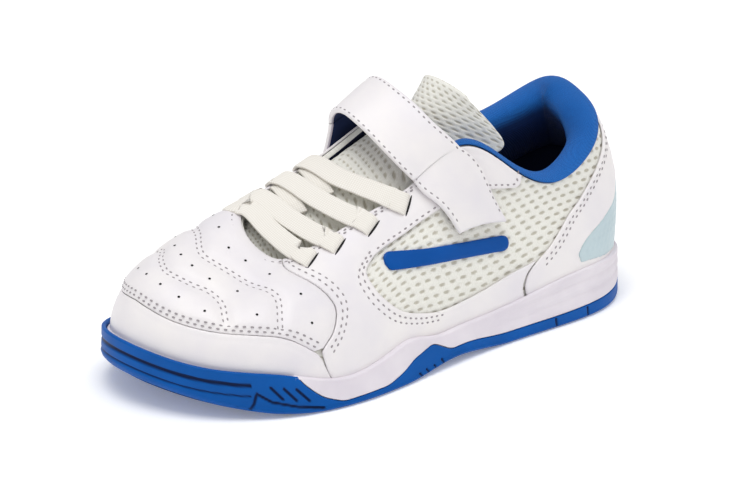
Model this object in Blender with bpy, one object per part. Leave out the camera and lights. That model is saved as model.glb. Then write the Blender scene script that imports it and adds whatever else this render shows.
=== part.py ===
# Child's indoor court shoe with a strap closure, left foot, empty, standing on its sole.
# Metres, +X to the toe, +Y to the outer (lateral) side, +Z up.
# Every section is taken at stations around the shoe: 0 at the back of the heel, then along the
# outer side to the toe at a half, and back along the inner side.
import bpy
import bmesh
import math
import numpy as np
from mathutils import Vector
from mathutils import geometry

for old in list(bpy.data.objects):
    bpy.data.objects.remove(old, do_unlink=True)

# Driving sizes
SOLE_LENGTH = 0.2145
BALL_WIDTH = 0.092
HEEL_HEIGHT = 0.075
INSTEP_HEIGHT = 0.078
RIM_HEIGHT = 0.020
TOE_SPRING = 0.0095
ARCH_RISE = 0.0022
UPPER_WALL = 0.0022
OVERLAY = 0.0010
GAP = 0.00035
CUP_DEPTH = 0.004
WRAP = 0.0016
PLATE = 0.0026
INSOLE = 0.0035
TONGUE = 0.0032
COLLAR_PAD = 0.0098
LACE_WIDTH = 0.0058
LACE_THICKNESS = 0.0014
STRAP_THICKNESS = 0.0022
GROOVE_DEPTH = 0.0013
GROOVE_WIDTH = 0.0022
# Bottom corner of the rubber: how far in the tread starts and how high the side does
BASE_IN = 0.0022
BASE_IN_TOE = 0.0044
SIDE_UP = 0.0017
SIDE_UP_TOE = 0.0032
COLLAR_ROLL = 0.36
STRAP_CROWN = 0.36
STRAP_SLANT = 0.09
TONGUE_CROWN = 0.26

# Sole outline, per thousand: along of the length, outer and inner of the ball width
SOLE = [
    # along, outer, inner
    (0, 0, 0),
    (12, 152, -147),
    (42, 261, -250),
    (102, 348, -326),
    (195, 386, -353),
    (316, 402, -348),
    (447, 440, -353),
    (578, 505, -402),
    (699, 538, -462),
    (811, 495, -457),
    (900, 380, -397),
    (965, 207, -283),
    (1000, -54, -54),
]

# Rim of the sole, per thousand of RIM_HEIGHT, and how far the rim and the foot of the upper
# stand in from the outline, in tenths of a millimetre
RIM = [
    # rim outer, rim inner, rim in outer, rim in inner, foot in beyond the rim
    (950, 950, 5, 5, 30),
    (950, 950, 5, 5, 30),
    (950, 950, 5, 5, 30),
    (940, 940, 15, 10, 30),
    (900, 900, 20, 12, 30),
    (690, 690, 25, 15, 32),
    (600, 600, 35, 18, 35),
    (620, 620, 40, 20, 35),
    (470, 470, 35, 20, 33),
    (710, 710, 28, 18, 34),
    (880, 880, 12, 10, 38),
    (1020, 1020, 6, 6, 40),
    (1160, 1160, 4, 4, 40),
]

# Edge of the opening at the same stations: collar rows use HEEL_HEIGHT, throat rows INSTEP_HEIGHT
COLLAR_EDGE = [
    # along, outer, inner, height outer, height inner
    (44, 0, 0, 985, 985),
    (49, 98, -92, 935, 1015),
    (70, 182, -172, 855, 1000),
    (116, 236, -225, 760, 930),
    (195, 266, -255, 698, 852),
    (279, 248, -241, 813, 907),
]
THROAT_EDGE = [
    # along, outer, inner, height outer, height inner
    (372, 207, -207, 936, 1000),
    (465, 168, -185, 795, 949),
    (549, 158, -179, 705, 846),
    (623, 147, -174, 628, 782),
    (679, 130, -163, 571, 737),
    (721, 87, -125, 551, 699),
    (742, -22, -22, 628, 628),
]

# Side profile of the upper: lean at the foot, handle lengths as thousandths of the heel height,
# and the slope at the opening below level
RIB = [
    # lean, foot handle, top handle, slope
    (6, 400, 293, 66),
    (5, 400, 293, 68),
    (4, 373, 267, 74),
    (3, 293, 227, 84),
    (6, 227, 187, 86),
    (5, 227, 187, 80),
    (4, 253, 200, 70),
    (4, 253, 213, 55),
    (4, 267, 240, 42),
    (3, 280, 293, 32),
    (1, 307, 347, 24),
    (-1, 333, 373, 18),
    (-2, 347, 373, 12),
]

# Top edge of the blue outsole by station: per thousand of RIM_HEIGHT, 2000 means up to the rim
TRIM = [
    # station, height
    (0.000, 375),
    (0.060, 325),
    (0.120, 265),
    (0.180, 225),
    (0.236, 210),
    (0.256, 180),
    (0.268, 430),
    (0.284, 370),
    (0.295, 230),
    (0.307, 130),
    (0.341, 110),
    (0.354, 250),
    (0.364, 460),
    (0.368, 470),
    (0.372, 2000),
    (0.500, 2000),
]

STATIONS = 42
LEVELS = [0.0, 0.09, 0.22, 0.38, 0.55, 0.72, 0.86, 0.94, 1.0]


def periodic(rows):
    # closed smooth curve through evenly spaced stations
    pts = np.array(rows, float)
    n = len(pts)
    mat = np.zeros((n, n))
    for i in range(n):
        mat[i, i - 1] += 1.0
        mat[i, i] += 4.0
        mat[i, (i + 1) % n] += 1.0
    rhs = 6.0 * (np.roll(pts, -1, 0) - 2.0 * pts + np.roll(pts, 1, 0))
    bend = np.linalg.solve(mat, rhs)

    def at(u):
        s = np.mod(np.asarray(u, float), 1.0) * n
        i = np.minimum(np.floor(s).astype(int), n - 1)
        j = (i + 1) % n
        b = (s - i)[..., None]
        a = 1.0 - b
        lin = pts[i] * a + pts[j] * b
        return lin + (bend[i] * (a ** 3 - a) + bend[j] * (b ** 3 - b)) / 6.0
    return at


def around(table, pairs, scale):
    # outer rows heel to toe, then inner rows toe to heel
    rows = []
    for row in table:
        rows.append([row[p[0]] * s for p, s in zip(pairs, scale)])
    for row in table[-2:0:-1]:
        rows.append([row[p[1]] * s for p, s in zip(pairs, scale)])
    return rows


def opening_rows():
    rows = []
    for row in COLLAR_EDGE:
        rows.append([row[0], row[1], row[2], row[3] * HEEL_HEIGHT, row[4] * HEEL_HEIGHT])
    for row in THROAT_EDGE:
        rows.append([row[0], row[1], row[2], row[3] * INSTEP_HEIGHT, row[4] * INSTEP_HEIGHT])
    return rows


MIL = 0.001
outline_at = periodic(around(SOLE, [(0, 0), (1, 2)], [MIL * SOLE_LENGTH, MIL * BALL_WIDTH]))
rim_at = periodic(around(RIM, [(0, 1), (2, 3), (4, 4)], [MIL * RIM_HEIGHT, 1e-4, 1e-4]))
opening_at = periodic(around(opening_rows(), [(0, 0), (1, 2), (3, 4)],
                             [MIL * SOLE_LENGTH, MIL * BALL_WIDTH, MIL]))
rib_at = periodic(around(RIB, [(0, 0), (1, 1), (2, 2), (3, 3)],
                         [math.radians(1), MIL * HEEL_HEIGHT, MIL * HEEL_HEIGHT, math.radians(1)]))


def unit(a):
    return a / np.linalg.norm(a, axis=-1, keepdims=True)


def outline(u):
    p = outline_at(u)
    t = unit(outline_at(u + 1e-4) - outline_at(u - 1e-4))
    n = np.stack([-t[..., 1], t[..., 0]], -1)
    return p, n


def ground(x):
    # underside: flat, with toe spring, a small arch and a bevelled heel
    s = x / SOLE_LENGTH
    toe = TOE_SPRING * np.clip((s - 0.745) / 0.255, 0.0, 1.0) ** 1.8
    heel = 0.3 * TOE_SPRING * np.clip((0.065 - s) / 0.065, 0.0, 1.0) ** 1.6
    arch = ARCH_RISE * np.cos(np.clip((s - 0.455) / 0.13, -1.0, 1.0) * math.pi / 2) ** 2
    return toe + heel + arch


def surface(u, v):
    # outer face of the upper between its foot (v 0) and the opening (v 1)
    u = np.asarray(u, float)
    v = np.asarray(v, float)
    u, v = np.broadcast_arrays(u, v)
    p, n = outline(u)
    rim = rim_at(u)
    rib = rib_at(u)
    foot = np.concatenate([p - n * (rim[..., 1:2] + rim[..., 2:3]), rim[..., 0:1] - CUP_DEPTH], -1)
    top = opening_at(u)
    lean = rib[..., 0:1]
    slope = rib[..., 3:4]
    d = unit((foot - top)[..., :2])
    a = foot + rib[..., 1:2] * np.concatenate([n * np.sin(lean), np.cos(lean)], -1)
    b = top + rib[..., 2:3] * np.concatenate([d * np.cos(slope), -np.sin(slope)], -1)
    w = v[..., None]
    z = 1.0 - w
    return z ** 3 * foot + 3 * z * z * w * a + 3 * z * w * w * b + w ** 3 * top


def facing(u, v):
    e = 1e-4
    du = surface(u + e, v) - surface(u - e, v)
    dv = surface(u, v + e) - surface(u, v - e)
    return unit(np.cross(dv, du))


def shell(u, v, h):
    u, v, h = np.broadcast_arrays(np.asarray(u, float), np.asarray(v, float), np.asarray(h, float))
    return surface(u, v) + facing(u, v) * h[..., None]


def crown_at(u):
    # how much the instep is arched above a straight line across the throat
    return np.interp(u, [0.25, 0.29, 0.33, 0.42], [0.36, 0.28, 0.16, 0.10])[..., None]


def hoop(u, q, crown=None):
    # over the instep: q 0 to 1 up the outer side, 1 to 2 across the throat, 2 to 3 down the inner
    u, q = np.broadcast_arrays(np.asarray(u, float), np.asarray(q, float))
    crown = crown_at(u) if crown is None else crown
    side = surface(u, np.clip(0.4 + 0.6 * q, 0.0, 1.0))
    far = surface(1.0 - u, np.clip(1.0 - 0.6 * (q - 2.0), 0.0, 1.0))
    one = np.ones_like(u)
    a = surface(u, one)
    d = surface(1.0 - u, one)
    width = np.linalg.norm(d - a, axis=-1, keepdims=True)
    across = np.array([0.2, 1.0, 1.0])
    b = a + unit((a - surface(u, one * 0.96)) * across) * width * crown
    c = d + unit((d - surface(1.0 - u, one * 0.96)) * across) * width * crown
    t = np.clip(q - 1.0, 0.0, 1.0)[..., None]
    s = 1.0 - t
    mid = s ** 3 * a + 3 * s * s * t * b + 3 * s * t * t * c + t ** 3 * d
    return np.where((q < 1.0)[..., None], side, np.where((q > 2.0)[..., None], far, mid))


def over(u, q, h, crown=None):
    # a point at height h above the hoop
    u, q, h = np.broadcast_arrays(np.asarray(u, float), np.asarray(q, float), np.asarray(h, float))
    e = 2e-3
    dq = hoop(u, q + e, crown) - hoop(u, q - e, crown)
    du = hoop(u + e, q, crown) - hoop(u - e, q, crown)
    return hoop(u, q, crown) + unit(np.cross(dq, du)) * h[..., None]


def make(name, verts, faces, colour, rough):
    mesh = bpy.data.meshes.new(name)
    mesh.from_pydata([tuple(map(float, p)) for p in verts], [], [tuple(map(int, f)) for f in faces])
    work = bmesh.new()
    work.from_mesh(mesh)
    bmesh.ops.remove_doubles(work, verts=work.verts, dist=1e-7)
    bmesh.ops.triangulate(work, faces=[f for f in work.faces if len(f.verts) > 3])
    bmesh.ops.recalc_face_normals(work, faces=work.faces)
    work.to_mesh(mesh)
    work.free()
    obj = bpy.data.objects.new(name, mesh)
    bpy.context.collection.objects.link(obj)
    mat = bpy.data.materials.new(name)
    mat.use_nodes = True
    shader = mat.node_tree.nodes["Principled BSDF"]
    shader.inputs["Base Color"].default_value = (*colour, 1.0)
    shader.inputs["Roughness"].default_value = rough
    mesh.materials.append(mat)
    mesh.shade_smooth()
    mesh.set_sharp_from_angle(angle=math.radians(35))
    return obj


WHITE = (0.86, 0.85, 0.86)
MESH_WHITE = (0.80, 0.79, 0.74)
FOAM = (0.80, 0.77, 0.81)
BLUE = (0.010, 0.14, 0.57)
COLLAR_BLUE = (0.03, 0.22, 0.72)
PALE = (0.58, 0.76, 0.82)
NAVY = (0.01, 0.03, 0.12)

# Stations: even ones, moved or joined by those where the outsole's edge turns
marks = [row[0] for row in TRIM] + [1.0 - row[0] for row in TRIM]
stations = [k / STATIONS for k in range(STATIONS)]
stations = [s for s in stations if min(abs(s - m) for m in marks) > 0.0085]
stations = sorted(stations + [m for m in set(round(m, 6) for m in marks) if m < 1.0])
U = np.array(stations)
N = len(U)
L = np.array(LEVELS)
M = len(L) - 1


def tube(rings):
    # quads between closed rings of N points
    faces = []
    for r in range(len(rings) - 1):
        for i in range(N):
            j = (i + 1) % N
            a, b, c, d = r * N + i, r * N + j, (r + 1) * N + j, (r + 1) * N + i
            faces += [(a, b, c), (a, c, d)]
    return faces


def plate(start):
    # closes a ring of N points with cross bars between outer and inner stations
    mirror = {}
    for i in range(N):
        mirror[i] = int(np.argmin(np.abs(U - (1.0 - U[i])))) if U[i] > 0 else 0
    half = [i for i in range(N) if U[i] <= 0.5 + 1e-9]
    faces = []
    for a, b in zip(half[:-1], half[1:]):
        loop = [a, b]
        if mirror[b] != b:
            loop.append(mirror[b])
        if mirror[a] != a:
            loop.append(mirror[a])
        loop = [start + k for k in loop]
        faces.append(tuple(loop[:3]))
        if len(loop) == 4:
            faces.append((loop[0], loop[2], loop[3]))
    return faces


p, n = outline(U)
rim = rim_at(U)
low = ground(p[:, 0])
trim_u = [row[0] for row in TRIM]
trim_z = [row[1] * MIL * RIM_HEIGHT for row in TRIM]
near = np.minimum(U, 1.0 - U)
edge = low * (near < 0.3719) + np.interp(near, trim_u, trim_z)
wrapped = near >= 0.3719
edge = np.where(wrapped, rim[:, 0] + 0.0002, edge)
toe = np.clip((p[:, 0] / SOLE_LENGTH - 0.84) / 0.16, 0.0, 1.0)
foot_in = rim[:, 1] + rim[:, 2]
floor = rim[:, 0] - CUP_DEPTH - 3 * GAP
wrap = WRAP * np.where(near > 0.38, 1.0, 0.62)


def wall_in(z):
    return rim[:, 1] * np.clip((z - low) / (rim[:, 0] - low), 0.0, 1.0)


def ring(inset, z):
    flat = p - n * np.broadcast_to(inset, (N,))[:, None]
    return np.column_stack([flat, np.broadcast_to(z, (N,))])


# Outsole: tray with a rounded bottom edge, wrapped up the toe and in a fin at the arch
base_in = BASE_IN + BASE_IN_TOE * toe
base = ring(base_in, low)
base[:, 2] = ground(base[:, 0])
side = np.minimum(low + SIDE_UP + SIDE_UP_TOE * toe, edge - 0.0004)
top_in = wall_in(edge)
back_in = top_in + wrap
step = np.where(near > 0.3675, 0.0003, 0.0006)
shift_in = GAP * np.clip((edge - low - PLATE) / 0.0005, -1.0, 1.0)
rings = [base, ring(0.0, side), ring(top_in, edge), ring(back_in, edge),
         ring(back_in + step, low + PLATE)]
faces = tube(rings) + plate(0) + plate(4 * N)
outsole = make("outsole", np.concatenate(rings), faces, BLUE, 0.5)

# Midsole: foam cup with a lip round the upper; at the toe the outsole's wrap takes the lip's place
slim = near > 0.3675
upper_foot = shell(U, 0.0, 0.0)
lip_gap = OVERLAY + 2.4 * GAP
levels = np.linspace(0.0, 0.35, 36)
lip_z = np.where(slim, floor + 0.0005, rim[:, 0])
lip_top = []
for k in range(N):
    path = surface(np.full(36, U[k]), levels)
    v = np.interp(lip_z[k], path[:, 2], levels)
    at = shell(U[k], v, lip_gap)
    lip_top.append([at[0], at[1], lip_z[k]])
lip_foot = upper_foot + np.column_stack([n, np.zeros(N)]) * lip_gap
lip_foot[:, 2] = floor
rings = [ring(0.0, low + 0.0005), ring(wall_in(lip_z), lip_z), np.array(lip_top), lip_foot,
         ring(foot_in + 0.004, floor)]
faces = tube(rings) + plate(0) + plate(4 * N)
midsole = make("midsole", np.concatenate(rings), faces, FOAM, 0.55)

# Room for the outsole, cut out of the foam
rings = [ring(-0.003, low - 0.003), ring(-0.003, edge + 1.6 * GAP),
         ring(back_in + shift_in, edge + 1.6 * GAP),
         ring(back_in + step + shift_in, low + PLATE + 1.6 * GAP)]
faces = tube(rings) + plate(0) + plate(3 * N)
room = make("outsole_room", np.concatenate(rings), faces, FOAM, 0.55)
room.hide_render = True
room.display_type = 'WIRE'
carve = midsole.modifiers.new("room", 'BOOLEAN')
carve.operation = 'DIFFERENCE'
carve.solver = 'EXACT'
carve.object = room

# Insole: thin footbed on the cup's floor
inset = foot_in + UPPER_WALL + 0.0012
rings = [ring(inset, floor + GAP), ring(inset, floor + GAP + INSOLE)]
insole = make("insole", np.concatenate(rings), tube(rings) + plate(0) + plate(N), NAVY, 0.8)

# Upper: hollow shell, open at the collar, the throat and underneath
grid = np.stack([shell(U, v, 0.0) for v in L])
inner = np.stack([shell(U, v, -UPPER_WALL) for v in L])
rings = list(grid) + list(inner[::-1])
faces = []
for r in range(len(rings)):
    s = (r + 1) % len(rings)
    for i in range(N):
        j = (i + 1) % N
        a, b, c, d = r * N + i, r * N + j, s * N + j, s * N + i
        if r >= M + 1:
            faces += [(a, b, d), (b, c, d)]
        else:
            faces += [(a, b, c), (a, c, d)]
upper = make("upper", np.concatenate(rings), faces, MESH_WHITE, 0.8)


def to_cells(u, v):
    turns = math.floor(u)
    a = np.interp(u - turns, list(U) + [1.0], np.arange(N + 1)) + turns * N
    return a, np.interp(v, L, np.arange(M + 1))


sheets = {}


def on_sheet(a, b, h):
    # a point on the upper's own flat facets, raised by h
    if h not in sheets:
        sheets[h] = np.stack([shell(U, v, h) for v in L])
    g = sheets[h]
    i = math.floor(a)
    j = min(math.floor(b), M - 1)
    fa = a - i
    fb = b - j
    i0 = i % N
    i1 = (i + 1) % N
    if fa >= fb:
        return g[j, i0] * (1 - fa) + g[j, i1] * (fa - fb) + g[j + 1, i1] * fb
    return g[j, i0] * (1 - fb) + g[j + 1, i0] * (fb - fa) + g[j + 1, i1] * fa


def smooth(points, count):
    # open curve through a few (station, level) points, its end left to the next curve
    pts = np.array(points, float)
    ext = np.concatenate([[2 * pts[0] - pts[1]], pts, [2 * pts[-1] - pts[-2]]])
    out = []
    total = len(pts) - 1
    for k in range(count):
        s = k / count * total
        i = min(int(s), total - 1)
        t = s - i
        a, b, c, d = ext[i:i + 4]
        out.append(0.5 * (2 * b + (c - a) * t + (2 * a - 5 * b + 4 * c - d) * t * t
                          + (3 * b - a - 3 * c + d) * t ** 3))
    return out


def inside(x, y, loops):
    odd = False
    for loop in loops:
        for k in range(len(loop)):
            x0, y0 = loop[k - 1]
            x1, y1 = loop[k]
            if (y0 > y) != (y1 > y) and x < x0 + (y - y0) * (x1 - x0) / (y1 - y0):
                odd = not odd
    return odd


def panel(name, outlines, bottom, top, colour, rough):
    # overlay cut from two raised copies of the upper's surface along outlines on the upper
    loops = []
    for loop in outlines:
        loops.append([to_cells(q[0], q[1]) for q in loop])
    pts = []
    edges = []
    for loop in loops:
        start = len(pts)
        pts += [Vector(q) for q in loop]
        edges += [(start + k, start + (k + 1) % len(loop)) for k in range(len(loop))]
    a0 = math.floor(min(q[0] for q in loops[0])) - 1
    a1 = math.ceil(max(q[0] for q in loops[0])) + 1
    start = len(pts)
    wide = a1 - a0 + 1
    for j in range(M + 1):
        for i in range(wide):
            pts.append(Vector((a0 + i, j)))
    for j in range(M + 1):
        for i in range(wide):
            k = start + j * wide + i
            if i + 1 < wide:
                edges.append((k, k + 1))
            if j < M:
                edges.append((k, k + wide))
            if i + 1 < wide and j < M:
                edges.append((k, k + wide + 1))
    done = geometry.delaunay_2d_cdt(pts, edges, [], 0, 0.012)
    flat = [(q.x, min(max(q.y, 0.0), M)) for q in done[0]]
    keep = []
    for f in done[2]:
        x = sum(flat[k][0] for k in f) / len(f)
        y = sum(flat[k][1] for k in f) / len(f)
        if inside(x, y, loops):
            keep.append(tuple(f))
    used = sorted(set(k for f in keep for k in f))
    index = {k: i for i, k in enumerate(used)}
    count = len(used)
    verts = [on_sheet(flat[k][0], flat[k][1], bottom) for k in used]
    verts += [on_sheet(flat[k][0], flat[k][1], top) for k in used]
    faces = []
    sides = {}
    for f in keep:
        g = [index[k] for k in f]
        faces.append(tuple(g))
        faces.append(tuple(count + k for k in reversed(g)))
        for k in range(len(g)):
            a, b = g[k - 1], g[k]
            sides[(a, b)] = True
    for a, b in sides:
        if (b, a) not in sides:
            faces.append((b, a, count + a, count + b))
    return make(name, verts, faces, colour, rough)


def flip(loop):
    return [(1.0 - q[0], q[1]) for q in loop]


LOW = GAP
HIGH = GAP + OVERLAY
BOTTOM = 0.012
# Toe cap up to its seam; the corner curves mirror to the inner side
seam = [(0.3430, 0.02), (0.3530, 0.16), (0.3600, 0.21), (0.381, 0.275), (0.402, 0.29),
        (0.443, 0.275), (0.470, 0.26), (0.500, 0.27)]
seam_loop = smooth(seam, 14)
cap_seam = seam_loop + flip([seam[-1]]) + flip(seam_loop[1:])[::-1] + flip([seam[0]])
cap = cap_seam + smooth([(0.657, BOTTOM), (0.500, BOTTOM), (0.343, BOTTOM)], 4)
cap = [q if q[1] > BOTTOM else (q[0], BOTTOM) for q in cap]
panel("toe_cap", [cap], LOW, HIGH, WHITE, 0.45)

# Vamp between the cap's seam, the two eyestays and the throat
front = [(0.447, 0.993), (0.402, 0.79), (0.375, 0.65), (0.357, 0.53), (0.3485, 0.44),
         (0.3475, 0.33), (0.353, 0.235)]
lift = 0.0012
ahead = [(q[0] + lift, q[1]) for q in smooth(front, 9)]
above = [(q[0], q[1] + 0.012) for q in smooth(seam[2:], 9)]
half = ahead + above
vamp = half + [(0.5, seam[-1][1] + 0.012)] + flip(above)[::-1] + flip(ahead)[::-1]
vamp += smooth([(0.552, 0.993), (0.5, 0.993), (0.449, 0.993)], 6)[1:]
panel("vamp", [vamp], LOW, HIGH, WHITE, 0.45)

# Quarter: eyestay along the throat, band under the mesh window, one on each side
behind = [(0.3395, BOTTOM), (0.347, 0.12), (0.3515, 0.21)]
rear = [(0.1955, BOTTOM), (0.1985, 0.10), (0.1990, 0.17), (0.1960, 0.25), (0.190, 0.315)]
window = [(0.190, 0.315), (0.206, 0.28), (0.230, 0.21), (0.255, 0.175), (0.272, 0.20),
          (0.289, 0.265), (0.305, 0.38), (0.319, 0.50), (0.328, 0.61), (0.322, 0.68)]
upper_edge = [(0.322, 0.68), (0.310, 0.695), (0.289, 0.69), (0.269, 0.68), (0.250, 0.69),
              (0.230, 0.75), (0.212, 0.83), (0.203, 0.90), (0.201, 0.993)]
quarter = smooth(behind, 3) + smooth(front[::-1], 9)
quarter += smooth([(0.447, 0.993), (0.32, 0.993), (0.201, 0.993)], 4)
quarter += smooth(upper_edge[::-1], 10) + smooth(window[::-1], 12) + smooth(rear[::-1], 5)
quarter += smooth([(0.1955, BOTTOM), (0.3395, BOTTOM)], 3)
panel("quarter_lateral", [quarter], LOW, HIGH, WHITE, 0.45)
panel("quarter_medial", [flip(quarter)], LOW, HIGH, WHITE, 0.45)

# Heel counter round the back, with the pale panel let into it
counter = [(0.1935, BOTTOM), (0.1965, 0.10), (0.1970, 0.17), (0.1940, 0.25), (0.187, 0.315),
           (0.175, 0.42), (0.156, 0.63), (0.140, 0.72), (0.124, 0.79), (0.100, 0.86), (0.072, 0.90),
           (0.045, 0.92)]
edge_out = smooth(counter, 12) + [counter[-1]]
loop = edge_out + smooth([(0.045, 0.92), (0.0, 0.93), (-0.045, 0.92)], 4)[1:]
loop += [(-q[0], q[1]) for q in edge_out[::-1]]
loop += smooth([(-0.1935, BOTTOM), (0.0, BOTTOM), (0.1935, BOTTOM)], 4)[1:]
hole = [(0.150, 0.12), (0.152, 0.22), (0.140, 0.32), (0.112, 0.37), (0.085, 0.42), (0.070, 0.52)]
hole_out = smooth(hole, 6) + [hole[-1]]
pale = hole_out + smooth([(0.070, 0.52), (0.0, 0.56), (-0.070, 0.52)], 4)[1:]
pale += [(-q[0], q[1]) for q in hole_out[::-1]]
pale += smooth([(-0.150, 0.12), (-0.10, 0.06), (0.0, 0.05), (0.10, 0.06), (0.150, 0.12)], 6)[1:]
panel("heel_counter", [loop, pale], LOW, HIGH, WHITE, 0.45)


def shrink(loop, amount):
    mid_u = sum(q[0] for q in loop) / len(loop)
    mid_v = sum(q[1] for q in loop) / len(loop)
    out = []
    for q in loop:
        du = q[0] - mid_u
        dv = q[1] - mid_v
        far = math.hypot(du, dv * 0.13)
        out.append((mid_u + du * (1 - amount / far), mid_v + dv * (1 - amount / far)))
    return out


panel("heel_panel", [shrink(pale, 0.0016)], LOW, HIGH, PALE, 0.6)

# Collar: padded roll over the edge of the opening and down inside, thickest at the heel
ring_u = sorted([s for s in U if s <= 0.262] + [s - 1.0 for s in U if s >= 0.738])
pads = np.interp(np.abs(ring_u), [0.0, 0.08, 0.167, 0.21, 0.262],
                 [COLLAR_PAD, COLLAR_PAD, 0.68 * COLLAR_PAD, 0.45 * COLLAR_PAD, 0.27 * COLLAR_PAD])
sections = []
clear = UPPER_WALL + 1.2 * GAP
for u, pad in zip(ring_u, pads):
    o = surface(u, 1.0)
    out = facing(u, 1.0)
    up = unit(o - surface(u, 0.97))
    wide = clear + pad
    sec = [o - out * clear + up * GAP * 1.2]
    for v in (0.94, 0.86, 0.72, 0.55):
        sec.append(shell(u, v, -clear))
    sec.append(shell(u, 0.55, -clear - 0.35 * pad))
    sec.append(shell(u, 0.72, -clear - 0.80 * pad))
    sec.append(shell(u, 0.86, -clear - pad))
    sec.append(shell(u, 0.94, -clear - pad))
    for k in range(6):
        ang = math.pi * k / 5
        mid = (0.0008 - wide) / 2
        reach = (0.0008 + wide) / 2
        sec.append(o + out * (mid - reach * math.cos(ang))
                   + up * (GAP * 1.2 + COLLAR_ROLL * wide * math.sin(ang)))
    sections.append(np.array(sec))
count = len(sections[0])
faces = []
for r in range(len(sections) - 1):
    for k in range(count):
        j = (k + 1) % count
        faces.append((r * count + k, r * count + j, (r + 1) * count + j, (r + 1) * count + k))
faces.append(tuple(range(count)))
faces.append(tuple((len(sections) - 1) * count + k for k in reversed(range(count))))
collar = make("collar", np.concatenate(sections), faces, COLLAR_BLUE, 0.85)

# Tongue: ribs under the throat, then a free end that curls round the ankle
spread = [0.80, 0.90, 1.0, 1.26, 1.36, 1.44, 1.5, 1.56, 1.64, 1.74, 2.0, 2.10, 2.20]
rows = []
for u, depth, reach in [(0.420, 2.9, 0.5), (0.395, 2.9, 0.8), (0.365, 2.9, 1.0),
                        (0.335, 3.0, 0.9), (0.305, 3.6, 0.6), (0.280, 5.2, 0.4)]:
    q = np.array(spread)
    q = np.where(q < 1.0, 1.0 + (q - 1.0) * reach, np.where(q > 2.0, 2.0 + (q - 2.0) * reach, q))
    rows.append(over(u, q, -depth * 0.001, max(TONGUE_CROWN, float(crown_at(u)[0]))))
root = np.array([0.065 * SOLE_LENGTH, 0.0, -0.10 * INSTEP_HEIGHT])
rows.insert(0, rows[0] + root * 0.5)
rows.insert(0, rows[1] + root)
FREE = [
    # centre along, centre height, half width, edge along, edge height: thousandths of the
    # length, the instep height, the ball width, the length and the instep height
    (420, 1060, 145, 262, 835),
    (395, 1135, 150, 280, 945),
    (368, 1215, 135, 322, 1080),
]
for cx, cz, half_width, ex, ez in FREE:
    row = []
    for k in range(13):
        a = (k / 6.0 - 1.0) * math.pi / 2
        bend = 1.0 - math.cos(a)
        row.append([MIL * SOLE_LENGTH * (cx - (cx - ex) * bend), -MIL * BALL_WIDTH * half_width
                    * math.sin(a), MIL * INSTEP_HEIGHT * (cz - (cz - ez) * bend)])
    if cx == FREE[0][0]:
        rows.append((rows[-1] + np.array(row)) / 2)
    rows.append(np.array(row))


def sheet(name, rows, thick, colour, rough, taper=(), thin=()):
    # closed sheet: the given face and a copy pushed in along the normals
    top = np.array(rows)
    du = np.gradient(top, axis=0)
    dv = np.gradient(top, axis=1)
    nrm = unit(np.cross(du, dv))
    deep = np.full(top.shape[:2], thick)
    for i, share in enumerate(taper):
        deep[i] *= share
    for j, share in enumerate(thin):
        deep[:, j] *= share
        deep[:, -1 - j] *= share
    low_face = top - nrm * deep[:, :, None]
    a, b = top.shape[:2]
    verts = np.concatenate([top.reshape(-1, 3), low_face.reshape(-1, 3)])
    faces = []
    for i in range(a - 1):
        for j in range(b - 1):
            k = i * b + j
            faces.append((k, k + 1, k + b + 1, k + b))
            k += a * b
            faces.append((k + b, k + b + 1, k + 1, k))
    rim_loop = [j for j in range(b)] + [i * b + b - 1 for i in range(1, a)]
    rim_loop += [(a - 1) * b + j for j in range(b - 2, -1, -1)] + [i * b for i in range(a - 2, 0, -1)]
    for k in range(len(rim_loop)):
        c, d = rim_loop[k - 1], rim_loop[k]
        faces.append((c, d, d + a * b, c + a * b))
    return make(name, verts, faces, colour, rough)


way = np.cross(rows[3][0] - rows[2][0], rows[2][1] - rows[2][0])[1]
sheet("tongue", rows, TONGUE if way > 0 else -TONGUE, MESH_WHITE, 0.85, [0.3, 0.3, 0.4, 0.7],
      [0.35, 0.4, 0.42, 0.7])

# Laces: four bands, each from its outer slot to the inner slot one place nearer the toe, and
# three short bands under them. Slots are listed at their own station and at the station where
# the lace passes the edge of the throat.
SLOTS = [(0.402, 0.433), (0.381, 0.407), (0.358, 0.371), (0.330, 0.337), (0.296, 0.300)]
SLOT_Q = 0.75
ABOVE = 0.0019
DIP = 0.0007


def band(start, end, q0, q1, heights, count):
    # flat band from one side to the other
    t = np.linspace(0.0, 1.0, count)
    q = q0 + (q1 - q0) * t
    u = np.interp(q, [SLOT_Q, 1.0, 2.0, 3.0 - SLOT_Q], [start[0], start[1], end[1], end[0]])
    h = np.interp(t, np.linspace(0, 1, len(heights)), heights)
    mid = over(u, q, h)
    up = unit(over(u, q, h + 0.001) - mid)
    along = np.gradient(mid, axis=0)
    side = unit(np.cross(up, along)) * LACE_WIDTH / 2
    rise = up * LACE_THICKNESS
    verts = np.stack([mid - side, mid + side, mid + side + rise, mid - side + rise], 1)
    faces = []
    for r in range(count - 1):
        for k in range(4):
            j = (k + 1) % 4
            faces.append((r * 4 + k, r * 4 + j, r * 4 + 4 + j, r * 4 + 4 + k))
    faces.append((3, 2, 1, 0))
    end_at = (count - 1) * 4
    faces.append((end_at, end_at + 1, end_at + 2, end_at + 3))
    return verts.reshape(-1, 3), faces


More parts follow.
